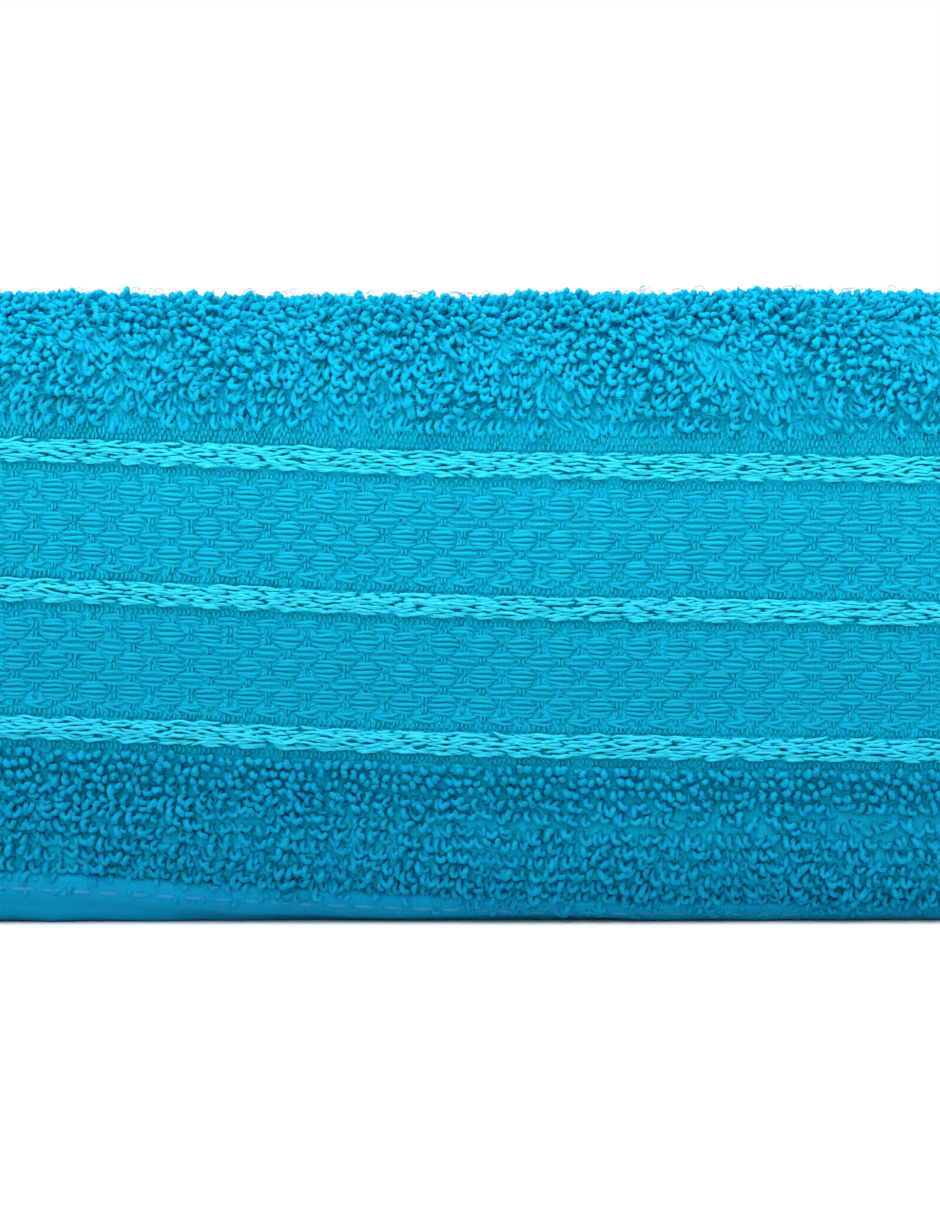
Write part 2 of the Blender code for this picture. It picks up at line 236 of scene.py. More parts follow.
def settled(towel, points):
    x, y, z = points[:, 0].copy(), points[:, 1].copy(), points[:, 2].copy()
    floor = towel["z"]
    share = np.clip((z - floor) / (towel["top"] - floor), 0, 1.1)
    k = towel["seed"]
    swell = np.sin(x * 41 + k) * np.sin(y * 33 + 2.1 * k) + 0.6 * np.sin(x * 87 + y * 61 + k)
    front = ease(y, towel["frontY"], towel["frontY"] + 0.03) if towel["hangs"] else 1.0
    points[:, 2] += settle["rise"] * share * swell * (0.20 + 0.80 * front)
    shift = np.sin(z * 210 + k + y * 9) + 0.7 * np.sin(z * 430 + 1.7 * k - y * 15)
    toEdge = ease(np.abs(x - towel["x"]), towel["half"] - 0.06, towel["half"])
    points[:, 0] += settle["edgeShift"] * shift * toEdge * 0.5
    toBack = ease(y, towel["y"] + 0.02, towel["y"] + towel["run"] / 2)
    points[:, 1] += settle["edgeShift"] * toBack * 0.6 * (np.sin(z * 260 + x * 11 + k) + np.sin(x * 23 + k))
    if towel["hangs"]:
        toFront = 1 - ease(y, towel["frontY"] + 0.004, towel["frontY"] + 0.02)
        points[:, 1] += settle["leafWave"] * toFront * (np.sin(x * 37 + k) + np.sin(x * 71 + z * 60) - 0.6)
        low = (1 - ease(z - floor, 0.002, 0.014)) * (
            1 - ease(y, towel["frontY"] + 0.012, towel["frontY"] + 0.022)
        )
        points[:, 2] -= settle["sag"] * low
        points[:, 1] -= settle["spread"] * low
        edge = 1 - ease(y, towel["turnY"] - 0.004, towel["turnY"] + 0.03)
        points[:, 2] += towel["frontRise"] * edge * ease(share, 0.6, 0.95)
        points[:, 2] = np.maximum(points[:, 2], 0.0001)  # it lies on the table
    return points


def drift(towel, x, s):
    if towel["hangs"]:
        fade = ease(s, towel["turnStart"] + 0.004, towel["turnStart"] + 0.022)
    else:
        fade = ease(s, towel["borderStart"] - 0.03, towel["borderStart"] - 0.01)
    turn = 2 * math.pi / towel["driftLength"]
    phase = (x - towel["x"] + 0.012) * turn
    return fade * towel["drift"] * (np.sin(phase) + 0.10 * np.sin(3.1 * phase + 1))


def clothPoint(towel, s, a, off):
    s, a, off = (np.asarray(value, float) for value in (s, a, off))
    side = towel["foldSide"]
    flat, arc = towel["flatRun"], math.pi * halfStep
    angle = np.clip((a - flat) / arc, 0, 1) * math.pi
    back = np.clip(a - flat - arc, 0, None)
    out = np.minimum(a, flat)
    nx, nh = side * np.sin(angle), np.cos(angle)
    x = -side * towel["half"] + side * (out - back) + nx * (halfStep + off)
    h = nh * (halfStep + off)
    moved = s + drift(towel, x + towel["x"], s)
    y, z, heading = lineAt(towel, moved)
    sine, cosine = np.sin(heading), np.cos(heading)
    points = np.stack([x + towel["x"], y + h * sine + towel["y"], z - h * cosine + towel["z"]], -1)
    normals = np.stack([nx, nh * sine, -nh * cosine], -1)
    along = np.stack([np.zeros_like(x), cosine, sine], -1)
    return settled(towel, points), normals, along


bath["frontY"] = bath["turnY"] - weave["topTurn"]
hand["frontY"] = hand["turnY"] - weave["topTurn"]


# mesh helpers

def addLayer(mesh, label, kind, values):
    layer = mesh.attributes.new(label, kind, "POINT")
    flat = np.asarray(values, np.int32 if kind == "INT" else np.float32).ravel()
    layer.data.foreach_set("vector" if kind == "FLOAT_VECTOR" else "value", flat)


def newMesh(name, points, faces, uvs=None, shade=None):
    mesh = bpy.data.meshes.new(name)
    count, corners = len(faces), faces.shape[1]
    mesh.vertices.add(len(points))
    mesh.vertices.foreach_set("co", np.asarray(points, np.float32).ravel())
    mesh.loops.add(count * corners)
    mesh.loops.foreach_set("vertex_index", faces.ravel().astype(np.int32))
    mesh.polygons.add(count)
    mesh.polygons.foreach_set("loop_start", np.arange(0, count * corners, corners, dtype=np.int32))
    mesh.polygons.foreach_set("loop_total", np.full(count, corners, np.int32))
    mesh.update(calc_edges=True)
    if uvs is not None:
        layer = mesh.uv_layers.new(name="clothMap")
        layer.data.foreach_set("uv", np.asarray(uvs, np.float32)[faces.ravel()].ravel())
    if shade is not None:
        addLayer(mesh, "shade", "FLOAT", shade)
    mesh.validate()
    mesh.shade_smooth()
    return mesh


def newPiece(name, mesh, material):
    mesh.materials.clear()
    mesh.materials.append(material)
    piece = bpy.data.objects.new(name, mesh)
    scene.collection.objects.link(piece)
    return piece


def outward(points, faces):
    tri = points[faces[:, :3]]
    volume = np.einsum("ij,ij->i", tri[:, 0], np.cross(tri[:, 1], tri[:, 2])).sum()
    if faces.shape[1] == 4:
        tri = points[faces[:, [0, 2, 3]]]
        volume += np.einsum("ij,ij->i", tri[:, 0], np.cross(tri[:, 1], tri[:, 2])).sum()
    return faces if volume > 0 else faces[:, ::-1]


def gridFaces(rows, columns, closed=False):
    i, j = np.meshgrid(np.arange(rows - 1), np.arange(columns if closed else columns - 1), indexing="ij")
    following = (j + 1) % columns
    return np.stack([
        i * columns + j, i * columns + following,
        (i + 1) * columns + following, (i + 1) * columns + j,
    ], -1).reshape(-1, 4)


def closedSweep(towel, stations, across, offsets):
    # a slab with a two-sided profile carried along the cloth: offsets(s) gives its half thickness
    rows, columns = len(stations), len(across)
    loop = np.concatenate([across, across[::-1]])
    sign = np.concatenate([np.ones(columns), -np.ones(columns)])
    s = np.repeat(stations, 2 * columns)
    a = np.tile(loop, rows)
    off = offsets(s, a) * np.tile(sign, rows)
    points, _, _ = clothPoint(towel, s, a, off)
    faces = gridFaces(rows, 2 * columns, closed=True)
    caps = []
    for row in (0, rows - 1):
        first, last = row * 2 * columns, (row + 1) * 2 * columns - 1
        i = np.arange(columns - 1)
        cap = np.stack([first + i, first + i + 1, last - i - 1, last - i], -1)
        caps.append(cap[:, ::-1] if row == 0 else cap)
    faces = np.concatenate([faces, *caps])
    return points, outward(points, faces), np.stack([a, s], -1)


def pathStations(towel, start, end, runStep, turnStep):
    line = towel["line"]
    marks = [start, end]
    for row, following in zip(line, list(line[1:, 0]) + [towel["total"]]):
        low, high = max(start, row[0]), min(end, following)
        if high <= low:
            continue
        step = turnStep if abs(row[4]) > 1e-9 else runStep
        marks += list(np.linspace(low, high, max(2, int(round((high - low) / step)) + 1)))
    return np.array(sorted(set(np.round(marks, 7))))


def acrossMarks(towel, step, start=0.0, end=None):
    flat, arc = towel["flatRun"], math.pi * halfStep
    end = towel["around"] if end is None else end
    marks = list(np.linspace(start, flat, int((flat - start) / step) + 2))
    marks += list(np.linspace(flat, flat + arc, 9))
    marks += list(np.linspace(flat + arc, end, int((end - flat - arc) / step) + 2))
    return np.array(sorted(set(np.round(marks, 7))))


# yarn shapes that the node trees repeat

def yarnShape(name, path, radius, sides):
    path = np.asarray(path, float)
    rings = len(path)
    radius = np.broadcast_to(np.asarray(radius, float), rings)
    tangent = np.gradient(path, axis=0)
    tangent /= np.linalg.norm(tangent, axis=1)[:, None]
    helper = np.array([0.0, 1.0, 0.02]) if abs(tangent[rings // 2][1]) < 0.8 else np.array([1.0, 0.0, 0.02])
    one = np.cross(tangent, helper)
    one /= np.linalg.norm(one, axis=1)[:, None]
    two = np.cross(tangent, one)
    turn = (np.arange(sides) + (0.5 if sides < 5 else 0.0)) * 2 * math.pi / sides
    ring = one[:, None] * np.cos(turn)[None, :, None] + two[:, None] * np.sin(turn)[None, :, None]
    points = (path[:, None] + ring * radius[:, None, None]).reshape(-1, 3)
    faces = gridFaces(rings, sides, closed=True)
    tri = np.concatenate([faces[:, [0, 1, 2]], faces[:, [0, 2, 3]]])
    caps = [[0, k + 1, k] for k in range(1, sides - 1)]
    base = (rings - 1) * sides
    caps += [[base, base + k, base + k + 1] for k in range(1, sides - 1)]
    tri = outward(points, np.concatenate([tri, np.array(caps)]))
    length = np.repeat(np.linspace(0, 1, rings), sides)
    around = np.tile(np.abs(np.linspace(-1, 1, sides)), rings)
    mesh = newMesh(name, points, tri, np.stack([around, length], -1))
    shape = bpy.data.objects.new(name, mesh)
    scene.collection.objects.link(shape)
    return shape


def pileLoop(name, height, spread, twist, rings, sides, radius, tipLean=0.0):
    t = np.linspace(0, 1, rings)
    rise = np.sin(math.pi * t) ** 0.85
    leg = np.cos(math.pi * t) * (0.72 + 0.5 * rise)
    turn = twist * rise
    path = np.stack([
        spread * leg * np.cos(turn),
        spread * leg * np.sin(turn) + tipLean * rise**2,
        height * rise - 0.0002,
    ], -1)
    return yarnShape(name, path, radius * (0.9 + 0.16 * rise), sides)


def floatShape(name, length, radius, lift, bow, rings, sides, wiggle=0.0):
    t = np.linspace(-1, 1, rings)
    path = np.stack([
        t * length / 2,
        bow * (1 - t * t) + wiggle * np.sin(t * 5),
        lift * (1 - t**4) - radius * 0.7,
    ], -1)
    return yarnShape(name, path, radius * (1 - 0.55 * np.abs(t) ** 4), sides)


def addNode(tree, kind, **settings):
    node = tree.nodes.new(kind)
    for label, value in settings.items():
        setattr(node, label, value)
    return node


def addInput(tree, label, kind, value=None):
    socket = tree.interface.new_socket(label, in_out="INPUT", socket_type="NodeSocket" + kind)
    if value is not None:
        socket.default_value = value


def addOutput(tree, label, kind="Float"):
    tree.interface.new_socket(label, in_out="OUTPUT", socket_type="NodeSocket" + kind)


# one node tree: it sets yarn shapes on points, with the turn and stretch that each point holds

def yarnTree():
    tree = bpy.data.node_groups.new("set yarns on points", "GeometryNodeTree")
    addInput(tree, "Points", "Geometry")
    for label in ("First Yarn", "Second Yarn", "Third Yarn"):
        addInput(tree, label, "Object")
    addInput(tree, "Size", "Float", 1.0)
    addInput(tree, "Size Spread", "Float", 0.1)
    addInput(tree, "Seed", "Int")
    addInput(tree, "Finish", "Material")
    addOutput(tree, "Yarns", "Geometry")
    nodes, links = tree.nodes, tree.links
    given, made = nodes.new("NodeGroupInput"), nodes.new("NodeGroupOutput")
    bundle = nodes.new("GeometryNodeGeometryToInstance")
    for label in ("Third Yarn", "Second Yarn", "First Yarn"):
        info = nodes.new("GeometryNodeObjectInfo")
        links.new(given.outputs[label], info.inputs["Object"])
        links.new(info.outputs["Geometry"], bundle.inputs[0])
    held = {}
    for label, kind in (("kind", "INT"), ("turn", "FLOAT_VECTOR"), ("stretch", "FLOAT_VECTOR")):
        node = addNode(tree, "GeometryNodeInputNamedAttribute", data_type=kind)
        node.inputs["Name"].default_value = label
        held[label] = node.outputs["Attribute"]
    rotation = nodes.new("FunctionNodeEulerToRotation")
    links.new(held["turn"], rotation.inputs[0])
    low, high = nodes.new("ShaderNodeMath"), nodes.new("ShaderNodeMath")
    low.operation, high.operation = "SUBTRACT", "ADD"
    spread = nodes.new("FunctionNodeRandomValue")
    for node in (low, high):
        links.new(given.outputs["Size"], node.inputs[0])
        links.new(given.outputs["Size Spread"], node.inputs[1])
    links.new(low.outputs[0], spread.inputs[2])
    links.new(high.outputs[0], spread.inputs[3])
    links.new(given.outputs["Seed"], spread.inputs["Seed"])
    scale = nodes.new("ShaderNodeVectorMath")
    scale.operation = "SCALE"
    links.new(held["stretch"], scale.inputs[0])
    links.new(spread.outputs[1], scale.inputs["Scale"])
    place = nodes.new("GeometryNodeInstanceOnPoints")
    links.new(given.outputs["Points"], place.inputs["Points"])
    links.new(bundle.outputs[0], place.inputs["Instance"])
    place.inputs["Pick Instance"].default_value = True
    links.new(held["kind"], place.inputs["Instance Index"])
    links.new(rotation.outputs[0], place.inputs["Rotation"])
    links.new(scale.outputs[0], place.inputs["Scale"])
    real = nodes.new("GeometryNodeRealizeInstances")
    links.new(place.outputs[0], real.inputs[0])
    geometry = real.outputs[0]
    for label in ("turn", "stretch", "kind"):
        drop = nodes.new("GeometryNodeRemoveAttribute")
        drop.inputs["Name"].default_value = label
        links.new(geometry, drop.inputs[0])
        geometry = drop.outputs[0]
    finish = nodes.new("GeometryNodeSetMaterial")
    links.new(geometry, finish.inputs["Geometry"])
    links.new(given.outputs["Finish"], finish.inputs["Material"])
    links.new(finish.outputs[0], made.inputs[0])
    return tree


yarnSetter = yarnTree()


def turned(matrix):
    # XYZ Euler angles of many rotation matrices
    rx = np.arctan2(matrix[:, 2, 1], matrix[:, 2, 2])
    ry = -np.arcsin(np.clip(matrix[:, 2, 0], -1, 1))
    rz = np.arctan2(matrix[:, 1, 0], matrix[:, 0, 0])
    return np.stack([rx, ry, rz], -1)


def spin(axis, angle):
    made = np.zeros((len(angle), 3, 3))
    c, s = np.cos(angle), np.sin(angle)
    i, j, k = {"x": (0, 1, 2), "y": (1, 2, 0), "z": (2, 0, 1)}[axis]
    made[:, i, i] = 1
    made[:, j, j], made[:, k, k] = c, c
    made[:, j, k], made[:, k, j] = -s, s
    return made


tableTouch = 0.0012  # yarns lower than this are pressed flat by the towel's weight


def pressed(mesh):
    values = np.empty(len(mesh.vertices) * 3, np.float32)
    mesh.vertices.foreach_get("co", values)
    height = values[2::3]
    low = height < tableTouch
    height[low] = tableTouch * np.exp(height[low] / tableTouch - 1)
    mesh.vertices.foreach_set("co", values)
    mesh.update()


def layYarns(name, points, normals, along, local, stretch, shade, kind, shapes, finish, spread=0.12, seed=1):
    # local is each yarn's own turn, before it is set on the cloth
    across = np.cross(along, normals)
    across /= np.linalg.norm(across, axis=1)[:, None]
    down = np.cross(normals, across)
    matrix = np.stack([across, down, normals], -1) @ local
    mesh = bpy.data.meshes.new(name + " points")
    mesh.vertices.add(len(points))
    mesh.vertices.foreach_set("co", np.asarray(points, np.float32).ravel())
    addLayer(mesh, "turn", "FLOAT_VECTOR", turned(matrix))
    addLayer(mesh, "stretch", "FLOAT_VECTOR", stretch)
    addLayer(mesh, "shade", "FLOAT", shade)
    addLayer(mesh, "kind", "INT", kind)
    carrier = bpy.data.objects.new(name + " points", mesh)
    scene.collection.objects.link(carrier)
    modifier = carrier.modifiers.new("yarns", "NODES")
    modifier.node_group = yarnSetter
    sockets = {
        item.name: item.identifier
        for item in yarnSetter.interface.items_tree if item.in_out == "INPUT"
    }
    given = dict(zip(("First Yarn", "Second Yarn", "Third Yarn"), shapes))
    given.update({"Size": 1.0, "Size Spread": spread, "Seed": seed, "Finish": finish})
    for label, value in given.items():
        modifier[sockets[label]] = value
    graph = bpy.context.evaluated_depsgraph_get()
    made = bpy.data.meshes.new_from_object(carrier.evaluated_get(graph), depsgraph=graph)
    made.name = name
    pressed(made)
    made.shade_smooth()
    bpy.data.objects.remove(carrier)
    piece = bpy.data.objects.new(name, made)
    scene.collection.objects.link(piece)
    made.calc_loop_triangles()
    print("scene:", name, len(points), "yarns", len(made.loop_triangles), "triangles")
    return piece


# finishes

colours = {
    "pileDark": (0.0026, 0.372, 0.570),
    "pileLight": (0.0034, 0.452, 0.680),
    # the lower pile's colours are the pile's own, darkened as painted shade
    "lowPileDark": (0.0018, 0.174, 0.330),
    "lowPileLight": (0.0026, 0.304, 0.510),
    "groundDark": (0.0022, 0.310, 0.485),
    "groundLight": (0.0030, 0.450, 0.650),
    "weaveDark": (0.0020, 0.298, 0.456),
    "weaveLight": (0.0028, 0.455, 0.635),
    "cordDark": (0.0022, 0.455, 0.625),
    "cordLight": (0.0070, 0.605, 0.750),
    "hemDark": (0.0020, 0.220, 0.390),
    "hemLight": (0.0026, 0.340, 0.540),
    "threadDark": (0.0018, 0.200, 0.370),
    "threadLight": (0.0026, 0.300, 0.500),
    "labelDark": (0.62, 0.65, 0.66),
    "labelLight": (0.82, 0.84, 0.84),
}


def mathNode(tree, operation, first, second=None):
    node = addNode(tree, "ShaderNodeMath", operation=operation)
    for socket, value in zip(node.inputs, (first, second)):
        if value is None:
            continue
        if isinstance(value, (int, float)):
            socket.default_value = value
        else:
            tree.links.new(value, socket)
    return node.outputs[0]


def fibreGroup():
    # cotton fibres: fine noise for colour and relief, and slow patches of lighter and darker dye
    tree = bpy.data.node_groups.new("cotton fibres", "ShaderNodeTree")
    for label, value in (("Fibre Scale", 2600.0), ("Patch Scale", 45.0), ("Patch Strength", 0.25)):
        addInput(tree, label, "Float", value)
    addOutput(tree, "Tone")
    addOutput(tree, "Relief")
    given, made = addNode(tree, "NodeGroupInput"), addNode(tree, "NodeGroupOutput")
    place = addNode(tree, "ShaderNodeTexCoord")
    fine = addNode(tree, "ShaderNodeTexNoise")
    fine.inputs["Detail"].default_value = 3
    slow = addNode(tree, "ShaderNodeTexNoise")
    slow.inputs["Detail"].default_value = 2
    tree.links.new(place.outputs["Object"], fine.inputs["Vector"])
    tree.links.new(place.outputs["Object"], slow.inputs["Vector"])
    tree.links.new(given.outputs["Fibre Scale"], fine.inputs["Scale"])
    tree.links.new(given.outputs["Patch Scale"], slow.inputs["Scale"])
    patch = mathNode(tree, "SUBTRACT", slow.outputs["Fac"], 0.5)
    patch = mathNode(tree, "MULTIPLY", patch, given.outputs["Patch Strength"])
    grain = mathNode(tree, "MULTIPLY", mathNode(tree, "SUBTRACT", fine.outputs["Fac"], 0.5), 0.5)
    tree.links.new(mathNode(tree, "ADD", patch, grain), made.inputs["Tone"])
    tree.links.new(fine.outputs["Fac"], made.inputs["Relief"])
    return tree


def plyGroup():
    # two plies twisted into one yarn, drawn along the yarn's own map, and painted light that makes each
    # yarn's middle, a loop's tip, lighter than its shaded ends
    tree = bpy.data.node_groups.new("twisted plies", "ShaderNodeTree")
    for label, value in (("Turns", 4.0), ("Tip Light", 0.5)):
        addInput(tree, label, "Float", value)
    addOutput(tree, "Ply")
    addOutput(tree, "Tip")
    given, made = addNode(tree, "NodeGroupInput"), addNode(tree, "NodeGroupOutput")
    uv = addNode(tree, "ShaderNodeUVMap", uv_map="clothMap")
    split = addNode(tree, "ShaderNodeSeparateXYZ")
    tree.links.new(uv.outputs["UV"], split.inputs[0])
    twist = mathNode(
        tree, "ADD", mathNode(tree, "MULTIPLY", split.outputs[1], given.outputs["Turns"]), split.outputs[0]
    )
    wave = mathNode(tree, "SINE", mathNode(tree, "MULTIPLY", twist, 2 * math.pi))
    tree.links.new(mathNode(tree, "MULTIPLY", mathNode(tree, "ADD", wave, 1.0), 0.5), made.inputs["Ply"])
    # painted light and shade: lightest at the middle of the yarn, darkest at its ends
    tip = mathNode(tree, "SINE", mathNode(tree, "MULTIPLY", split.outputs[1], math.pi))
    tree.links.new(mathNode(tree, "MULTIPLY", tip, given.outputs["Tip Light"]), made.inputs["Tip"])
    return tree


def weaveGroup():
    # plain weave on the cloth's own map: crossing threads that pass over and under
    tree = bpy.data.node_groups.new("plain weave", "ShaderNodeTree")
    addInput(tree, "Pitch", "Float", 0.0005)
    addOutput(tree, "Weave")
    given, made = addNode(tree, "NodeGroupInput"), addNode(tree, "NodeGroupOutput")
    uv = addNode(tree, "ShaderNodeUVMap", uv_map="clothMap")
    split = addNode(tree, "ShaderNodeSeparateXYZ")
    tree.links.new(uv.outputs["UV"], split.inputs[0])
    waves = []
    for axis in (0, 1):
        turns = mathNode(tree, "DIVIDE", split.outputs[axis], given.outputs["Pitch"])
        waves.append(mathNode(tree, "SINE", mathNode(tree, "MULTIPLY", turns, math.pi)))
    crossing = mathNode(tree, "MULTIPLY", waves[0], waves[1])
    tree.links.new(mathNode(tree, "ABSOLUTE", crossing), made.inputs["Weave"])
    return tree


fibres, plies, plainWeave = fibreGroup(), plyGroup(), weaveGroup()


def finish(name, dark, light, roughness, kind, relief, specular, sheen=0.0, turns=4.0, pitch=0.0005):
    # kind is yarn for pieces made of yarn shapes, and cloth for woven ground
    made = bpy.data.materials.new(name)
    made.use_nodes = True
    tree = made.node_tree
    shader = tree.nodes["Principled BSDF"]
    shader.inputs["Roughness"].default_value = roughness
    shader.inputs["Specular IOR Level"].default_value = specular
    shader.inputs["Sheen Weight"].default_value = sheen
    shader.inputs["Sheen Roughness"].default_value = 0.6
    shader.inputs["Sheen Tint"].default_value = (*colours[light], 1)
    fibre = addNode(tree, "ShaderNodeGroup", node_tree=fibres)
    shade = addNode(tree, "ShaderNodeAttribute", attribute_name="shade")
    if kind == "yarn":
        ply = addNode(tree, "ShaderNodeGroup", node_tree=plies)
        ply.inputs["Turns"].default_value = turns
        tone = mathNode(tree, "MULTIPLY", ply.outputs["Ply"], 0.30)
        # the tip term is painted light on loop tips and float crests, and painted shade at their ends
        tone = mathNode(tree, "ADD", tone, ply.outputs["Tip"])
        tone = mathNode(tree, "ADD", tone, shade.outputs["Fac"])
        height = mathNode(
            tree, "ADD", mathNode(tree, "MULTIPLY", ply.outputs["Ply"], 0.7), fibre.outputs["Relief"]
        )
    else:
        woven = addNode(tree, "ShaderNodeGroup", node_tree=plainWeave)
        woven.inputs["Pitch"].default_value = pitch
        tone = mathNode(tree, "MULTIPLY", woven.outputs["Weave"], 0.7)
        tone = mathNode(tree, "ADD", tone, shade.outputs["Fac"])
        height = mathNode(tree, "ADD", woven.outputs["Weave"], fibre.outputs["Relief"])
    tone = mathNode(tree, "ADD", tone, fibre.outputs["Tone"])
    mix = addNode(tree, "ShaderNodeMix", data_type="RGBA")
    tree.links.new(tone, mix.inputs["Factor"])
    mix.inputs[6].default_value = (*colours[dark], 1)
    mix.inputs[7].default_value = (*colours[light], 1)
    tree.links.new(mix.outputs[2], shader.inputs["Base Color"])
    bump = addNode(tree, "ShaderNodeBump")
    bump.inputs["Strength"].default_value = 0.6
    bump.inputs["Distance"].default_value = relief
    tree.links.new(height, bump.inputs["Height"])
    tree.links.new(bump.outputs[0], shader.inputs["Normal"])
    return made


pileFinish = finish("pile yarn", "pileDark", "pileLight", 0.95, "yarn", 0.00010, 0.02, sheen=0.15)
# a copy of the pile finish in painted shade, for the pile under the border
shadedLowPileFinish = finish(
    "lower pile yarn", "lowPileDark", "lowPileLight", 0.95, "yarn", 0.00010, 0.02, sheen=0.10
)
groundFinish = finish("pile ground", "groundDark", "groundLight", 0.95, "cloth", 0.00020, 0.02)
weaveFinish = finish("border weft", "weaveDark", "weaveLight", 0.85, "yarn", 0.00006, 0.05, turns=9.0)
cordFinish = finish("shiny cord", "cordDark", "cordLight", 0.32, "yarn", 0.00005, 0.26, turns=14.0)
hemFinish = finish("hem cloth", "hemDark", "hemLight", 0.90, "cloth", 0.00012, 0.03, pitch=0.0006)
threadFinish = finish("sewing thread", "threadDark", "threadLight", 0.60, "yarn", 0.00004, 0.25, turns=10.0)
labelFinish = finish("label tape", "labelDark", "labelLight", 0.65, "cloth", 0.00005, 0.3, pitch=0.0004)
print("scene: finishes made")


# yarn shapes, made once

random = np.random.default_rng(407)

loopSizes = {"height": 0.0021, "spread": 0.00042, "yarn": 0.00029, "twist": 2.4}
hairYarn = 0.000028  # radius of a single loose fibre


def loopSet(label, rings, sides, rows):
    # each row: height, spread and yarn as shares of loopSizes, then twist and how far the tip leans
    return [
        pileLoop(label + str(index + 1), loopSizes["height"] * tall, loopSizes["spread"] * wide, twist,
                 rings, sides, loopSizes["yarn"] * thick, lean)
        for index, (tall, wide, thick, twist, lean) in enumerate(rows)
    ]


def floatSet(label, rings, sides, rows):
    # each row: length, yarn radius, lift, bow and wiggle
    return [
        floatShape(label + str(index + 1), length, radius, lift, bow, rings, sides, wiggle)
        for index, (length, radius, lift, bow, wiggle) in enumerate(rows)
    ]


fineTwist = loopSizes["twist"]
fineLoops = loopSet("fineLoop", 9, 5, [
    (1, 1, 1, fineTwist, 0.0002),
    (0.9, 1.15, 1, fineTwist * 0.6, -0.0002),
    (1.08, 0.9, 0.95, fineTwist * 1.5, 0.0004),
])
pearls = loopSet("pearl", 7, 5, [
    (0.80, 0.60, 1.22, 1.0, 0.0),
    (0.74, 0.70, 1.18, 1.6, 0.0001),
    (0.86, 0.55, 1.28, 0.6, 0.0),
])
lowLoops = loopSet("lowLoop", 8, 5, [
    (0.74, 1.25, 1.10, 1.5, 0.0003),
    (0.66, 1.45, 1.15, 0.9, -0.0003),
    (0.80, 1.10, 1.05, 2.2, 0.0),
])
hairs = [
    floatShape("hairStraight", 0.0017, hairYarn, 0.00045, 0.0, 3, 3),
    floatShape("hairBent", 0.0014, hairYarn, 0.00035, 0.00045, 4, 3, 0.00012),
    floatShape("hairCurled", 0.0012, hairYarn, 0.00055, -0.00050, 4, 3, -0.00015),
]
plainLoops = loopSet("plainLoop", 5, 3, [
    (1, 1, 1.3, 0.8, 0.0), (0.9, 1.2, 1.3, 1.4, 0.0), (1.05, 1, 1.3, 1.9, 0.0),
])
tufts = loopSet("tuft", 3, 3, [
    (1.1, 1.9, 2.3, 0.6, 0.0), (1.0, 2.2, 2.3, 1.2, 0.0), (1.2, 2.0, 2.2, 1.8, 0.0),
])
weftFloats = floatSet("weft", 7, 5, [
    (0.0034, 0.00020, 0.00026, 0.0, 0.00003),
    (0.0034, 0.00020, 0.00026, -0.00020, 0.00003),
    (0.0034, 0.00020, 0.00026, 0.00020, -0.00003),
])
warpStubs = floatSet("stub", 4, 4, [
    (0.00110, 0.00016, 0.00028, 0.0, 0.0),
    (0.00130, 0.00015, 0.00030, 0.00004, 0.0),
    (0.00095, 0.00017, 0.00026, -0.00004, 0.0),
])
cordStrands = floatSet("strand", 7, 4, [
    (0.0025, 0.00020, 0.00048, 0.00010, 0.00005),
    (0.0032, 0.00019, 0.00052, -0.00008, -0.00006),
    (0.0019, 0.00021, 0.00045, 0.00004, 0.00003),
])
plainFloats = floatSet("plainWeft", 4, 3, [
    (0.0034, 0.00023, 0.00026, bow, 0.0) for bow in (0.0, -0.00020, 0.00020)
])
plainStubs = floatSet("plainStub", 3, 3, [(0.00110, 0.00015, 0.00028, 0.0, 0.0)] * 3)
plainStrands = floatSet("plainStrand", 4, 3, [
    (0.0025, 0.00021, 0.00055, 0.00010, 0.0),
    (0.0032, 0.00020, 0.00060, -0.00008, 0.0),
    (0.0019, 0.00022, 0.00050, 0.00004, 0.0),
])
stitchShape = [floatShape("stitch", 0.0027, 0.00026, 0.00028, 0.0, 7, 6)] * 3
shapeSets = (fineLoops, pearls, lowLoops, hairs, plainLoops, tufts, weftFloats, warpStubs, cordStrands,
             plainFloats, plainStubs, plainStrands, stitchShape)
allShapes = {shape for group in shapeSets for shape in group}


def scattered(s0, s1, a0, a1, pitchS, pitchA, jitter):
    # rows of loops, every other row set over by half a pitch
    rows = max(1, int((s1 - s0) / pitchS))
    columns = max(1, int((a1 - a0) / pitchA))
    s = s0 + (np.arange(rows) + 0.5) * (s1 - s0) / rows
    a = a0 + (np.arange(columns) + 0.5) * (a1 - a0) / columns
    s, a = np.meshgrid(s, a, indexing="ij")
    a = a + (np.arange(rows)[:, None] % 2) * pitchA * 0.5
    s = s + random.uniform(-jitter, jitter, s.shape) * pitchS
    a = a + random.uniform(-jitter, jitter, a.shape) * pitchA
    return s.ravel(), a.ravel()


def swirl(points, scale, seed):
    # a slow field of angles, in which neighbouring loops lean the same way
    x, y, z = (points * scale).T
    return (
        1.6 * np.sin(x * 1.1 + 2 * np.sin(z * 0.9 + seed))
        + 1.3 * np.sin(z * 1.7 + y * 1.3 + 1.5 * np.sin(x * 0.8 + seed))
    )


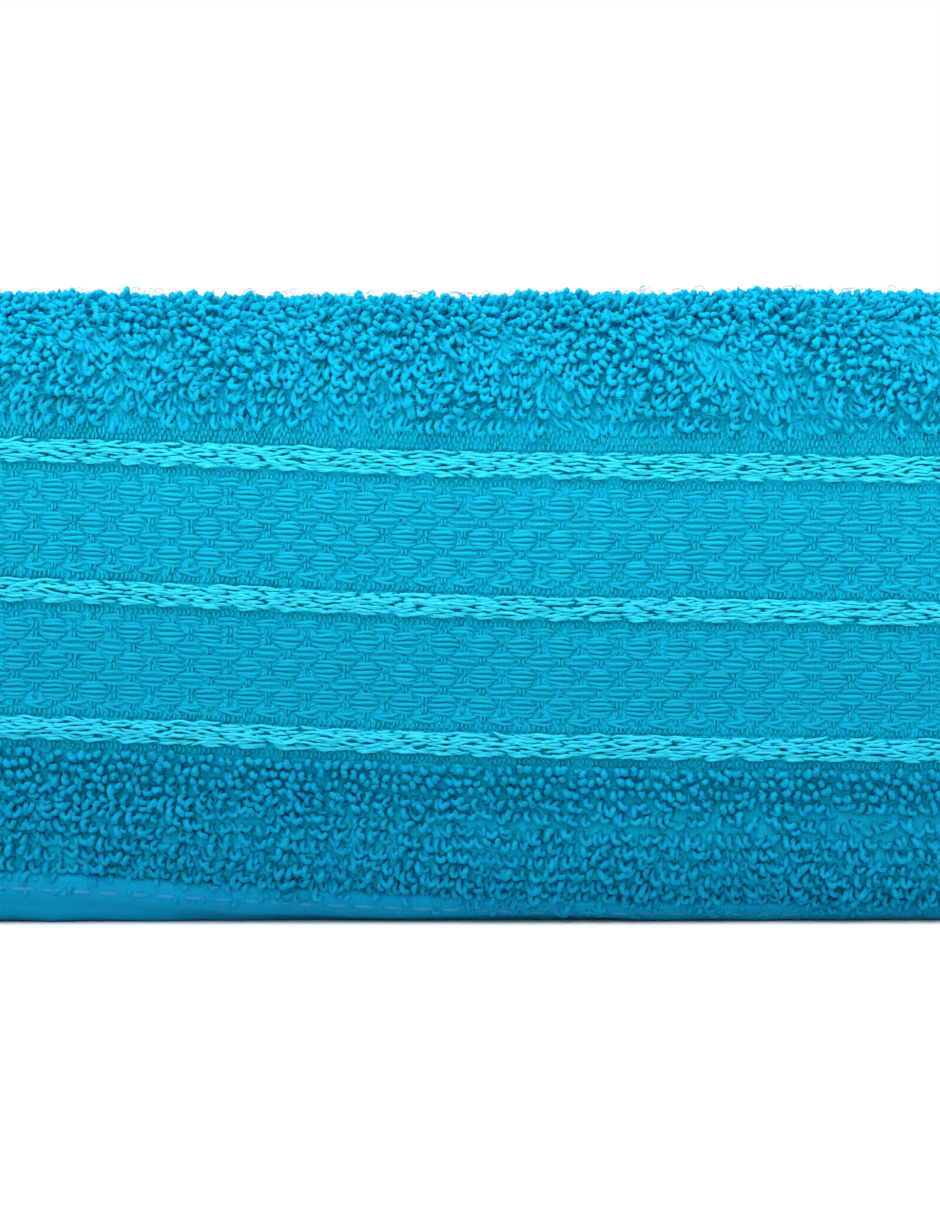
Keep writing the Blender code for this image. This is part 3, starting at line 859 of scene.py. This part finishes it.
def pile(towel, name, s, a, lean, leanSpread, shapes, finish=pileFinish, paintedRowShade=0.0):
    ground = weave["ground"] / 2
    points, normals, along = clothPoint(towel, s, a, np.full_like(s, ground - 0.0002))
    count = len(s)
    field = swirl(points, 260, towel["seed"])
    azimuth = 0.55 * field * (1 - lean / 1.6) + random.normal(0, 0.35, count)
    tilt = np.clip(lean + random.normal(0, leanSpread, count) + 0.10 * field, -0.3, 1.45)
    own = spin("z", azimuth) @ spin("x", -tilt) @ spin("z", random.uniform(-0.9, 0.9, count) + math.pi / 2)
    size = np.ones((count, 3))
    size[:, 2] *= random.uniform(0.76, 1.02, count)
    # the last term is painted shade given by the caller
    shade = random.normal(0.0, 0.09, count) + 0.05 * np.sin(field * 2) + paintedRowShade
    kind = random.integers(0, 3, count)
    return layYarns(name, points, normals, along, own, size, shade, kind, shapes, finish, 0.14, towel["seed"])


def ownedBy(towel, piece, nodes=(), onLeaf=False, blended=False):
    if blended and towel["hangs"]:
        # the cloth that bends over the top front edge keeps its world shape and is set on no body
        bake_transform(piece)
    else:
        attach(piece, towel["leafBody"] if onLeaf else towel["body"])
    if nodes:
        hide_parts(*[towel["name"] + "_" + node for node in nodes])
    return piece


def hemwardPaintedShade(towel, s):
    # painted shade: the cloth is made darker towards its hem, standing in for light that falls off down the
    # front
    if not towel["hangs"]:
        return np.zeros_like(s)
    return -0.80 * np.clip((s - towel["borderStart"]) / (towel["borderEnd"] - towel["borderStart"]), 0, 1)


def surfaceFrame(towel, s, a, off):
    # points, normals and the direction down the cloth, square to a border that runs slightly askew
    points, normals, along = clothPoint(towel, s, a, off)
    ahead, _, _ = clothPoint(towel, s, a + 1e-4, off)
    across = ahead - points
    guess = np.cross(along, normals)
    across *= np.sign(np.einsum("ij,ij->i", across, guess))[:, None]
    across -= normals * np.einsum("ij,ij->i", across, normals)[:, None]
    across /= np.linalg.norm(across, axis=1)[:, None]
    return points, normals, np.cross(normals, across)


# the woven border

borderWeave = {
    "bathRows": [("tabby", 0.0010), ("arch", 0.0009), ("tall", 0.0020), ("thin", 0.0015), ("tall", 0.0019),
                 ("thin", 0.0014), ("tall", 0.0019), ("fan", 0.0009), ("tabby", 0.0010)],
    "smallRows": [
        ("tabby", 0.0008), ("arch", 0.0009), ("tall", 0.0020),
        ("thin", 0.0014), ("tall", 0.0019), ("tabby", 0.0009),
    ],
    "wefts": {"tall": 5, "thin": 3, "arch": 2, "fan": 2},
    "ladder": 2,  # warp ends that show between two floats
    "warpPitch": 0.00051,
}


class YarnList:
    def __init__(self):
        self.rows = []

    def add(self, s, a, off, tilt, size, kind, shade):
        count = len(a)
        full = [
            np.broadcast_to(np.asarray(value, float), count)
            for value in (s, a, off, tilt, size, kind, shade)
        ]
        self.rows.append(np.stack(full, -1))

    def lay(self, towel, name, shapes, finish, upright=False):
        s, a, off, tilt, size, kind, shade = np.concatenate(self.rows).T
        # painted shade towards the hem is added to each yarn's tone
        shade = shade + hemwardPaintedShade(towel, s)
        points, normals, along = surfaceFrame(towel, s, a, off)
        own = spin("z", tilt + (math.pi / 2 if upright else 0.0))
        stretch = np.stack([size, np.ones_like(size), np.ones_like(size)], -1)
        return layYarns(
            name, points, normals, along, own, stretch, shade, kind, shapes, finish, 0.05, towel["seed"]
        )


def repeats(a0, a1):
    first = math.ceil(a0 / weave["repeat"])
    return np.arange(first, math.floor(a1 / weave["repeat"]) + 1) * weave["repeat"]


def bandYarns(towel, zone, a0, a1, floats, stubs):
    rows = borderWeave["bathRows"] if towel["name"] == "bath" else borderWeave["smallRows"]
    scale = (zone[1] - zone[0] + 2 * weave["partGap"]) / sum(height for _, height in rows)
    at = zone[0] - weave["partGap"]
    base = weave["borderGround"] / 2
    centres = repeats(a0, a1)
    step = weave["repeat"]
    for kind, height in rows:
        height *= scale
        middle = at + height / 2
        shift = step / 2 if kind in ("thin", "arch", "fan") else 0.0
        if kind == "tabby":
            stubField(stubs, at, at + height, a0, a1, base)
            at += height
            continue
        wefts = borderWeave["wefts"][kind]
        for index in range(wefts):
            place = (index + 0.5) / wefts - 0.5
            count = len(centres)
            s = middle + place * height + random.normal(0, 0.00003, count)
            a = centres + shift + random.normal(0, 0.00010, count)
            bow = {"arch": 1, "fan": 2}.get(kind, 1 if place < -0.15 else 2 if place > 0.15 else 0)
            tilt = random.normal(0, 0.045, count)
            if kind == "fan":
                tilt = tilt + 0.16 * (-1) ** index
            lift = 0.00007 * math.cos(place * math.pi) + 0.00004
            size = (1.04 - 0.34 * abs(place) * 2) * random.uniform(0.93, 1.05, count)
            # painted light and shade: wefts at the middle of a row, which stand highest, are lighter than
            # those at its edges; the rest is random tone
            shade = random.normal(0.04, 0.10, count) + 0.08 * math.cos(place * math.pi)
            floats.add(s, a, base + lift, tilt, size, bow, shade)
        gaps = centres + shift + step / 2
        for index in range(borderWeave["ladder"]):
            aside = (index - (borderWeave["ladder"] - 1) / 2) * 0.00036
            for part in ((-0.25, 0.25) if kind == "tall" else (0.0,)):
                s = middle + part * height + random.normal(0, 0.00006, len(gaps))
                a = gaps + aside + random.normal(0, 0.00004, len(gaps))
                shade = random.normal(0.0, 0.10, len(gaps))
                stubs.add(
                    s, a, base + 0.00004, random.normal(0, 0.07, len(gaps)), 0.9,
                    random.integers(0, 3, len(gaps)), shade,
                )
        at += height


def stubField(stubs, s0, s1, a0, a1, base, paintedStripShade=0.0):
    rows = max(1, int(round((s1 - s0) / 0.00075)))
    pitch = borderWeave["warpPitch"]
    for row in range(rows):
        a = np.arange(a0, a1, pitch) + (row % 2) * pitch / 2
        a = a + random.normal(0, 0.00005, len(a))
        s = s0 + (row + 0.5) * (s1 - s0) / rows + random.normal(0, 0.00010, len(a))
        kind = random.integers(0, 3, len(a))
        # the strip's painted shade is added to its random tone
        shade = random.normal(paintedStripShade + 0.04, 0.12, len(a))
        stubs.add(
            s, a, base + 0.00003, random.normal(0, 0.10, len(a)),
            random.uniform(0.7, 1.05, len(a)), kind, shade,
        )


def cordYarns(towel, centre, a0, a1, strands, fine=True):
    step = weave["repeat"]
    base = weave["borderGround"] / 2 + 0.00015
    for course in range(5):
        for strand in range(2 if fine else 1):
            a = np.arange(a0, a1, step / 2) + step * 0.21 * course
            count = len(a)
            a = a + random.uniform(-0.0005, 0.0005, count)
            s = (
                centre + (course - 2.2) * 0.00043 + (strand - 0.5) * 0.00018
                + random.normal(0, 0.00006, count)
            )
            off = base + 0.00025 * (1 - ((course - 2) / 2.6) ** 2) + random.normal(0, 0.00006, count)
            size = random.uniform(0.75, 1.3, count)
            shade = random.normal(0.0, 0.20, count)
            strands.add(s, a, off, random.normal(0, 0.09, count), size, random.integers(0, 3, count), shade)
    knots = repeats(a0, a1)
    for strand in range(2 if fine else 1):
        count = len(knots)
        s = centre + 0.00088 + strand * 0.00015 + random.normal(0, 0.00004, count)
        a = knots + random.normal(0, 0.00012, count)
        strands.add(
            s, a, base + 0.00012, random.normal(0, 0.05, count), 1.0, 0, random.normal(0.05, 0.16, count)
        )


def borderPieces(towel, a0, a1, label, floatShapes, stubShapes, strandShapes, nodes, fine=True):
    floats, stubs, strands = YarnList(), YarnList(), YarnList()
    for zone in towel["bandZones"]:
        bandYarns(towel, zone, a0, a1, floats, stubs)
    strip = towel["borderStart"]
    base = weave["borderGround"] / 2
    # painted light and shade: the plain strip above the border is a little lighter, the one under the last
    # cord darker
    stubField(stubs, strip - weave["stripAbove"], strip, a0, a1, base, 0.10)
    stubField(stubs, towel["borderEnd"], towel["borderEnd"] + 0.0007, a0, a1, base, -0.1)
    for centre in towel["cords"]:
        cordYarns(towel, centre, a0, a1, strands, fine)
    name = towel["name"] + "_"
    made = [
        (floats.lay(towel, name + "band_floats" + label, floatShapes, weaveFinish), "woven_band", nodes[0]),
        (
            stubs.lay(towel, name + "band_warps" + label, stubShapes, weaveFinish, upright=True),
            "woven_band", (),
        ),
        (strands.lay(towel, name + "cord_strands" + label, strandShapes, cordFinish), "shiny_cord", nodes[1]),
    ]
    return [ownedBy(towel, piece, replaced, onLeaf=True) for piece, slot, replaced in made]


# ground cloth, hems, stitches and label

def wovenShare(towel, s):
    # one over the border and its plain strips, none under the pile
    start, end = towel["borderStart"] - weave["stripAbove"], towel["borderEnd"] + weave["stripBelow"]
    return ease(s, start - 0.0004, start + 0.0002) * (1 - ease(s, end - 0.0002, end + 0.0004))


def groundThickness(towel):
    def half(s, a):
        thick = np.full_like(s, weave["ground"] / 2)
        thick += wovenShare(towel, s) * (weave["borderGround"] - weave["ground"]) / 2
        return thick

    return half


def groundShade(towel, s):
    # the border's ground is nearly as light as its yarns and the pile's ground is darker; under the lower
    # pile the ground is painted darker still as shadow, and the border's ground takes the painted shade
    # towards the hem
    end = towel["borderEnd"] + weave["stripBelow"]
    low = ease(s, end, end + 0.0006) if towel["hangs"] else 0.0
    return wovenShare(towel, s) * (0.55 + 0.5 * hemwardPaintedShade(towel, s)) - 0.70 * low


def slab(towel, name, stations, across, offsets, finish):
    points, faces, uvs = closedSweep(towel, stations, across, offsets)
    return newPiece(name, newMesh(name, points, faces, uvs, groundShade(towel, uvs[:, 1])), finish)


def hemSlab(towel, name, stations, a0, a1):
    # a rolled edge: full in its middle and rounded at both sides
    across = np.linspace(a0, a1, 9)

    def half(s, a):
        t = np.clip((a - a0) / (a1 - a0), 0, 1)
        return weave["hem"] / 2 * (
            0.35 + 0.65 * np.clip(np.sin(math.pi * np.clip(t * 0.92 + 0.04, 0, 1)), 0, 1) ** 0.35
        )

    return slab(towel, name, stations, across, half, hemFinish)


def joined(name, objects):
    bpy.ops.object.select_all(action="DESELECT")
    for obj in objects:
        obj.select_set(True)
    bpy.context.view_layer.objects.active = objects[0]
    bpy.ops.object.join()
    objects[0].name = name
    return objects[0]


def endHem(towel, name, s0, s1):
    # a turned end: thicker than the ground, soft along both its edges
    end = towel["around"] - weave["sideHem"]
    across = acrossMarks(towel, 0.004, weave["sideHem"], end)
    stations = np.linspace(s0, s1, 26)

    def half(s, a):
        t = np.clip((s - s0) / (s1 - s0), 0, 1)
        ripple = 0.00016 * np.sin(a * 410 + 3 * np.sin(a * 90)) * np.sin(math.pi * t)
        ripple = ripple - 0.00035 * np.exp(-(((t - 0.30 - 0.05 * np.sin(a * 130)) / 0.07) ** 2))
        return weave["hem"] / 2 * (
            0.45 + 0.55 * np.clip(np.sin(math.pi * (t * 0.94 + 0.03)), 0, 1) ** 0.3
        ) + ripple

    return slab(towel, name, stations, across, half, hemFinish)


def stitches(towel, name, s, a, off, upright):
    rows = YarnList()
    count = len(s)
    rows.add(s, a, off, random.normal(0, 0.03, count), 1.0, 0, random.normal(0.1, 0.08, count))
    return rows.lay(towel, name, stitchShape, threadFinish, upright)


labelSizes = {"width": 0.025, "drop": 0.030, "thickness": 0.0006, "curl": 0.0022}


def careLabel(towel):
    # a blank folded tape that hangs out of the side hem
    low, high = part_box(towel["name"] + "_care_label")
    side = -towel["foldSide"]
    rows, columns = 18, 13
    v, u = np.meshgrid(np.linspace(0, 1, rows), np.linspace(0, 1, columns), indexing="ij")
    y = low.y + u * (high.y - low.y) + 0.0006 * np.sin(v * 3)
    z = high.z - v * (high.z - low.z)
    face = (high.x if side < 0 else low.x)
    bulge = labelSizes["curl"] * v**2 * (0.6 + 0.4 * np.sin(u * 2.6)) + 0.0003 * np.sin(u * 7) * v
    shell = []
    for depth in (0.0, labelSizes["thickness"]):
        x = face + side * (depth + bulge)
        shell.append(np.stack([x, y, z], -1).reshape(-1, 3))
    points = np.concatenate(shell)
    front = gridFaces(rows, columns)
    back = front[:, ::-1] + rows * columns
    edge = [r * columns for r in range(rows)] + [(rows - 1) * columns + c for c in range(1, columns)]
    edge += (
        [r * columns + columns - 1 for r in range(rows - 2, -1, -1)]
        + [c for c in range(columns - 2, 0, -1)]
    )
    edge = np.array(edge)
    following = np.roll(edge, -1)
    wall = np.stack([edge, edge + rows * columns, following + rows * columns, following], -1)
    faces = np.concatenate([front, back, wall])
    uvs = np.concatenate([np.stack([u * labelSizes["width"], v * labelSizes["drop"]], -1).reshape(-1, 2)] * 2)
    name = towel["name"] + "_label_tape"
    return newPiece(name, newMesh(name, points, outward(points, faces), uvs), labelFinish)


def makeTowel(towel, detail):
    name = towel["name"] + "_"
    hangs = towel["hangs"]
    hem = weave["sideHem"]
    around = towel["around"]
    bodyEnd = towel["turnStart"] - detail["bendBack"] if hangs else towel["hemStart"]
    total = towel["total"]
    thickness = groundThickness(towel)
    pack = slab(towel, name + "cloth", pathStations(towel, 0.0, bodyEnd, 0.007, 0.0022),
                acrossMarks(towel, 0.010, hem, around - hem), thickness, groundFinish)
    ownedBy(towel, pack, ("terry_body", "inner_terry", "inner_border_band", "inner_hem"))
    hemStations = pathStations(towel, 0.0, bodyEnd, 0.007, 0.0022)
    sides = [hemSlab(towel, name + "side", hemStations, 0.0, hem),
             hemSlab(towel, name + "side", hemStations, around, around - hem)]
    sideHem = ownedBy(
        towel, joined(name + "side_hems", sides), ("side_hem_upper", "side_hem_lower")
    )
    parts = [sideHem]
    outer = weave["hem"] / 2 * 0.97
    if hangs:
        hemStart = towel["hemStart"] - 0.0006
        leafStations = pathStations(towel, bodyEnd, hemStart + 0.0004, 0.0012, 0.0008)
        leaf = slab(
            towel, name + "leaf_cloth", leafStations,
            acrossMarks(towel, 0.0045, hem, around - hem), thickness, groundFinish,
        )
        parts.append(ownedBy(
            towel, leaf,
            ("top_turn_terry", "leaf_terry_upper", "leaf_terry_lower"), blended=True,
        ))
        leafHem = endHem(towel, name + "end_hem", hemStart, total)
        parts.append(ownedBy(towel, leafHem, ("leaf_hem",), onLeaf=True))
        stations = pathStations(towel, bodyEnd, total, 0.0020, 0.0010)
        sides = [hemSlab(towel, name + "side", stations, 0.0, hem),
                 hemSlab(towel, name + "side", stations, around, around - hem)]
        sideLeaf = joined(name + "leaf_side_hems", sides)
        parts.append(ownedBy(
            towel, sideLeaf, ("leaf_side_hem_outer", "leaf_side_hem_inner"), blended=True
        ))
    else:
        leafHem = endHem(towel, name + "end_hem", towel["hemStart"] - 0.0006, total)
        parts.append(ownedBy(towel, leafHem, ("front_hem",)))
    pitch = weave["stitch"]
    s = np.arange(total - towel["cut"][1] / (towel["panels"] + 1), bodyEnd, pitch)
    seam = stitches(
        towel, name + "side_stitches", s, np.full_like(s, hem - 0.0016), np.full_like(s, outer), True
    )
    parts.append(ownedBy(towel, seam, ("side_thread",)))
    a = np.arange(hem, around / 2, pitch)
    seamAt = towel["hemStart"] + 0.0002
    seam = stitches(
        towel, name + "hem_stitches", np.full_like(a, seamAt), a, np.full_like(a, outer - 0.0003), False
    )
    parts.append(ownedBy(towel, seam, ("hem_thread",), onLeaf=True))
    parts.append(ownedBy(towel, careLabel(towel), ("care_label",)))
    return pack, parts


def outerPitch(pitch, radius):
    # loops stand further apart at the outside of a bend than along its fold line
    return pitch * radius / (radius + halfStep + weave["ground"] / 2)


def leafPile(towel, label, a0, a1, pitch, lowPitch, shapes, lowShapes, detail):
    name = towel["name"] + "_"
    start = towel["turnStart"] - detail["bendBack"]
    strip = towel["borderStart"] - weave["pileGap"]
    back = scattered(start, towel["turnStart"], a0, a1, pitch[1], pitch[0], 0.22)
    bend = scattered(
        towel["turnStart"], towel["turnEnd"], a0, a1,
        outerPitch(pitch[1], topRadius), pitch[0], 0.22,
    )
    drop = scattered(towel["turnEnd"], strip, a0, a1, pitch[1], pitch[0], 0.22)
    made = []
    if detail["split"]:
        made.append(pile(towel, name + "pile_top_back" + label, *back, 0.55, 0.26, plainLoops))
    else:
        bend = [np.concatenate(values) for values in zip(back, bend)]
    s, a = (np.concatenate(values) for values in zip(bend, drop))
    lean = 0.55 + 0.45 * ease(s, towel["turnStart"], towel["turnEnd"])
    made.append(pile(towel, name + "pile_top_edge" + label, s, a, lean, 0.26, shapes))
    for piece in made:
        ownedBy(towel, piece, blended=True)
    low = towel["borderEnd"] + 0.0008
    turn = towel["total"] - weave["hemRun"] - lowerRadius * math.pi / 2
    straight = scattered(low, turn, a0, a1, lowPitch[1], lowPitch[0], 0.20)
    bend = scattered(
        turn, towel["hemStart"] + 0.0006, a0, a1,
        outerPitch(lowPitch[1], lowerRadius), lowPitch[0], 0.20,
    )
    s, a = (np.concatenate(values) for values in zip(straight, bend))
    depth = np.clip((s - low) / (towel["hemStart"] - low), 0, 1)
    rows = [(s < low + 0.0036, detail["rowShapes"], "rows"), (s >= low + 0.0036, lowShapes, "border")]
    for chosen, kinds, part in rows:
        # painted shade: the rows just under the border are lighter and the pile darkens towards the hem
        paintedRowShade = 0.30 - 0.55 * depth[chosen]
        lean = 0.10 + 0.25 * ease(depth[chosen], 0.1, 0.5)
        lower = pile(
            towel, name + "pile_below_" + part + label, s[chosen], a[chosen],
            lean, 0.24, kinds, shadedLowPileFinish, paintedRowShade,
        )
        made.append(ownedBy(towel, lower, onLeaf=True))
    return made


def fuzz(towel, name, s, a, off, finish):
    # single fibres that stand off the yarns
    count = len(s)
    points, normals, along = clothPoint(towel, s, a, off + random.uniform(0.0, 0.0005, count))
    own = spin("z", random.uniform(-math.pi, math.pi, count)) @ spin("y", random.uniform(-0.7, 0.7, count))
    size = np.ones((count, 3)) * random.uniform(0.6, 1.3, count)[:, None]
    shade = random.normal(0.15, 0.15, count)
    return layYarns(
        name, points, normals, along, own, size, shade,
        random.integers(0, 3, count), hairs, finish, 0.1, towel["seed"],
    )


def packPile(towel, detail):
    # the top panel, the folded edge and the back, which lie away from the front
    name = towel["name"] + "_"
    pitch = detail["tuftPitch"]
    hem = weave["sideHem"]
    flat, arc = towel["flatRun"], math.pi * halfStep
    line = towel["line"]
    made = []
    end = (
        towel["turnStart"] - detail["bendBack"] if towel["hangs"]
        else towel["borderStart"] - weave["pileGap"]
    )
    topStart = line[2 * (towel["panels"] - 1)][0]
    s, a = scattered(topStart, end, hem + 0.0004, flat, pitch, pitch, 0.3)
    half = detail["topPieces"]
    cuts = np.linspace(topStart, end, half + 1)
    for index in range(half):
        chosen = (s >= cuts[index]) & (s < cuts[index + 1]) if half > 1 else np.ones_like(s, bool)
        piece = pile(
            towel, name + "pile_top_" + str(index + 1), s[chosen], a[chosen],
            np.full(chosen.sum(), 0.6), 0.3, tufts,
        )
        made.append(ownedBy(towel, piece))
    rows = [scattered(0.0, end, flat, flat + arc, pitch, pitch * 1.15, 0.25)]
    for index in range(towel["panels"] - 1):
        start, radius = line[2 * index + 1][0], foldRadius
        sign = 1 if index % 2 == 0 else -1
        if sign < 0 and towel["hangs"]:
            continue  # these folds lie behind the hanging leaf
        step = outerPitch(pitch, radius)
        stretch = (start - 0.004, start + math.pi * radius + 0.004)
        if sign > 0:
            rows.append(scattered(*stretch, hem + 0.0004, flat, step, pitch, 0.25))
        else:
            rows.append(scattered(*stretch, flat + arc, towel["around"] - hem, step, pitch, 0.25))
    s, a = (np.concatenate(values) for values in zip(*rows))
    piece = pile(towel, name + "pile_folds", s, a, np.full_like(s, 0.35), 0.35, tufts)
    made.append(ownedBy(towel, piece))
    return made


# build the set

detailOf = {
    "bath": {
        "bendBack": 0.0115, "split": True, "tuftPitch": 0.0024, "topPieces": 2, "rowShapes": pearls,
        "near": 0.056,  # half the width that is woven in full detail
        "pitch": (0.00095, 0.00098), "lowPitch": (0.00100, 0.00104),
        "sidePitch": (0.00115, 0.00118), "sideLowPitch": (0.00118, 0.00128),
        "upperFibres": 2200, "lowerFibres": 1200,
    },
    "hand": {
        "bendBack": 0.0115, "split": False, "tuftPitch": 0.0024, "topPieces": 1, "rowShapes": plainLoops,
        "pitch": (0.00125, 0.00130), "lowPitch": (0.00125, 0.00130),
    },
    "face": {"bendBack": 0.0, "tuftPitch": 0.0023, "topPieces": 1, "frontPitch": 0.0013},
}
smallNodes = (("band",), ("cord_upper", "cord_lower"))

fineYarns = (weftFloats, warpStubs, cordStrands)
plainYarns = (plainFloats, plainStubs, plainStrands)
packs = {}
for towel in towels:
    detail = detailOf[towel["name"]]
    pack, parts = makeTowel(towel, detail)
    parts += packPile(towel, detail)
    hem, flat = weave["sideHem"] + 0.0004, towel["flatRun"] + math.pi * halfStep
    if towel["name"] == "bath":
        middle = towel["half"]
        a0, a1 = middle - detail["near"], middle + detail["near"]
        nodes = (("band_upper", "band_lower"), ("cord_upper", "cord_middle", "cord_lower"))
        parts += leafPile(towel, "", a0, a1, detail["pitch"], detail["lowPitch"], fineLoops, lowLoops, detail)
        count = detail["upperFibres"]
        s = random.uniform(towel["turnStart"] + 0.002, towel["borderStart"] - 0.0006, count)
        upper = fuzz(towel, "bath_fuzz_upper", s, random.uniform(a0, a1, count), 0.0021, pileFinish)
        parts.append(ownedBy(towel, upper, blended=True))
        count = detail["lowerFibres"]
        s = random.uniform(towel["borderEnd"] + 0.0006, towel["hemStart"], count)
        # the lower fibres take the pile finish in painted shade
        lower = fuzz(towel, "bath_fuzz_lower", s, random.uniform(a0, a1, count), 0.0019, shadedLowPileFinish)
        parts.append(ownedBy(towel, lower, onLeaf=True))
        parts += borderPieces(towel, a0, a1, "", *fineYarns, nodes)
        plain = dict(detail, split=False, rowShapes=plainLoops)
        for label, low, high in (("_left", hem, a0), ("_right", a1, flat)):
            parts += leafPile(
                towel, label, low, high, plain["sidePitch"], plain["sideLowPitch"],
                plainLoops, plainLoops, plain,
            )
            parts += borderPieces(towel, low, high, label, *plainYarns, ((), ()), fine=False)
    elif towel["name"] == "hand":
        parts += leafPile(
            towel, "", hem, flat, detail["pitch"], detail["lowPitch"], plainLoops, plainLoops, detail
        )
        parts += borderPieces(towel, hem, flat, "", *plainYarns, smallNodes, fine=False)
    else:
        low = towel["borderEnd"] + 0.0011
        pitch = detail["frontPitch"]
        s, a = scattered(low, towel["hemStart"] - 0.0003, hem, flat, pitch, pitch, 0.2)
        front = pile(towel, "face_pile_front", s, a, np.full_like(s, 0.5), 0.3, plainLoops)
        parts.append(ownedBy(towel, front, ("front_terry",)))
        parts += borderPieces(towel, hem, flat, "", *plainYarns, smallNodes, fine=False)
    packs[towel["name"]] = (pack, parts)
print("scene: towels built")

for obj in allShapes:
    bpy.data.objects.remove(obj)

for towel in towels:
    pack, parts = packs[towel["name"]]


# table, light and camera

studio = {
    "table": (0.90, 0.90, 0.90),
    "frameWidth": 0.0985,
    "lens": 100.0,
    "sensor": 36.0,
    "room": 1.0,
}


def plainFinish(name, colour):
    made = bpy.data.materials.new(name)
    made.use_nodes = True
    shader = made.node_tree.nodes["Principled BSDF"]
    shader.inputs["Base Color"].default_value = (*colour, 1)
    shader.inputs["Roughness"].default_value = 0.9
    shader.inputs["Specular IOR Level"].default_value = 0.1
    return made


def stageSheet(name, size, finish):
    corners = np.array([(-size, -size, 0.0), (size, -size, 0.0), (size, size, 0.0), (-size, size, 0.0)])
    sheet = newPiece(name, newMesh(name, corners, np.array([[0, 1, 2, 3]])), finish)


def areaLight(name, location, target, size, power):
    data = bpy.data.lights.new(name, "AREA")
    data.shape, data.size, data.energy = "SQUARE", size, power
    light = bpy.data.objects.new(name, data)
    light.location = location
    light.rotation_euler = (Vector(target) - Vector(location)).to_track_quat("-Z", "Y").to_euler()
    scene.collection.objects.link(light)


stageSheet("table", 15.0, plainFinish("pale table", studio["table"]))
areaLight("sky panel", (-0.35, -0.75, 1.25), (-0.131, -0.10, 0.03), 1.1, 15)
areaLight("front panel", (-0.55, -1.30, 0.45), (-0.131, -0.10, 0.03), 1.1, 4)
world = bpy.data.worlds.new("studio")
scene.world = world
world.use_nodes = True
world.node_tree.nodes["Background"].inputs["Color"].default_value = (1.0, 1.0, 1.0, 1)
world.node_tree.nodes["Background"].inputs["Strength"].default_value = studio["room"]

camera = bpy.data.objects.new("camera", bpy.data.cameras.new("camera"))
scene.collection.objects.link(camera)
scene.camera = camera
camera.data.lens = studio["lens"]
camera.data.sensor_fit = "HORIZONTAL"
camera.data.sensor_width = studio["sensor"]
distance = studio["frameWidth"] * studio["lens"] / studio["sensor"]
camera.location = (bath["x"], bath["frontY"] - distance, bath["top"] / 2)
camera.rotation_euler = (math.pi / 2, 0.0, 0.0)
camera.data.clip_start = 0.01
print("scene: studio ready")
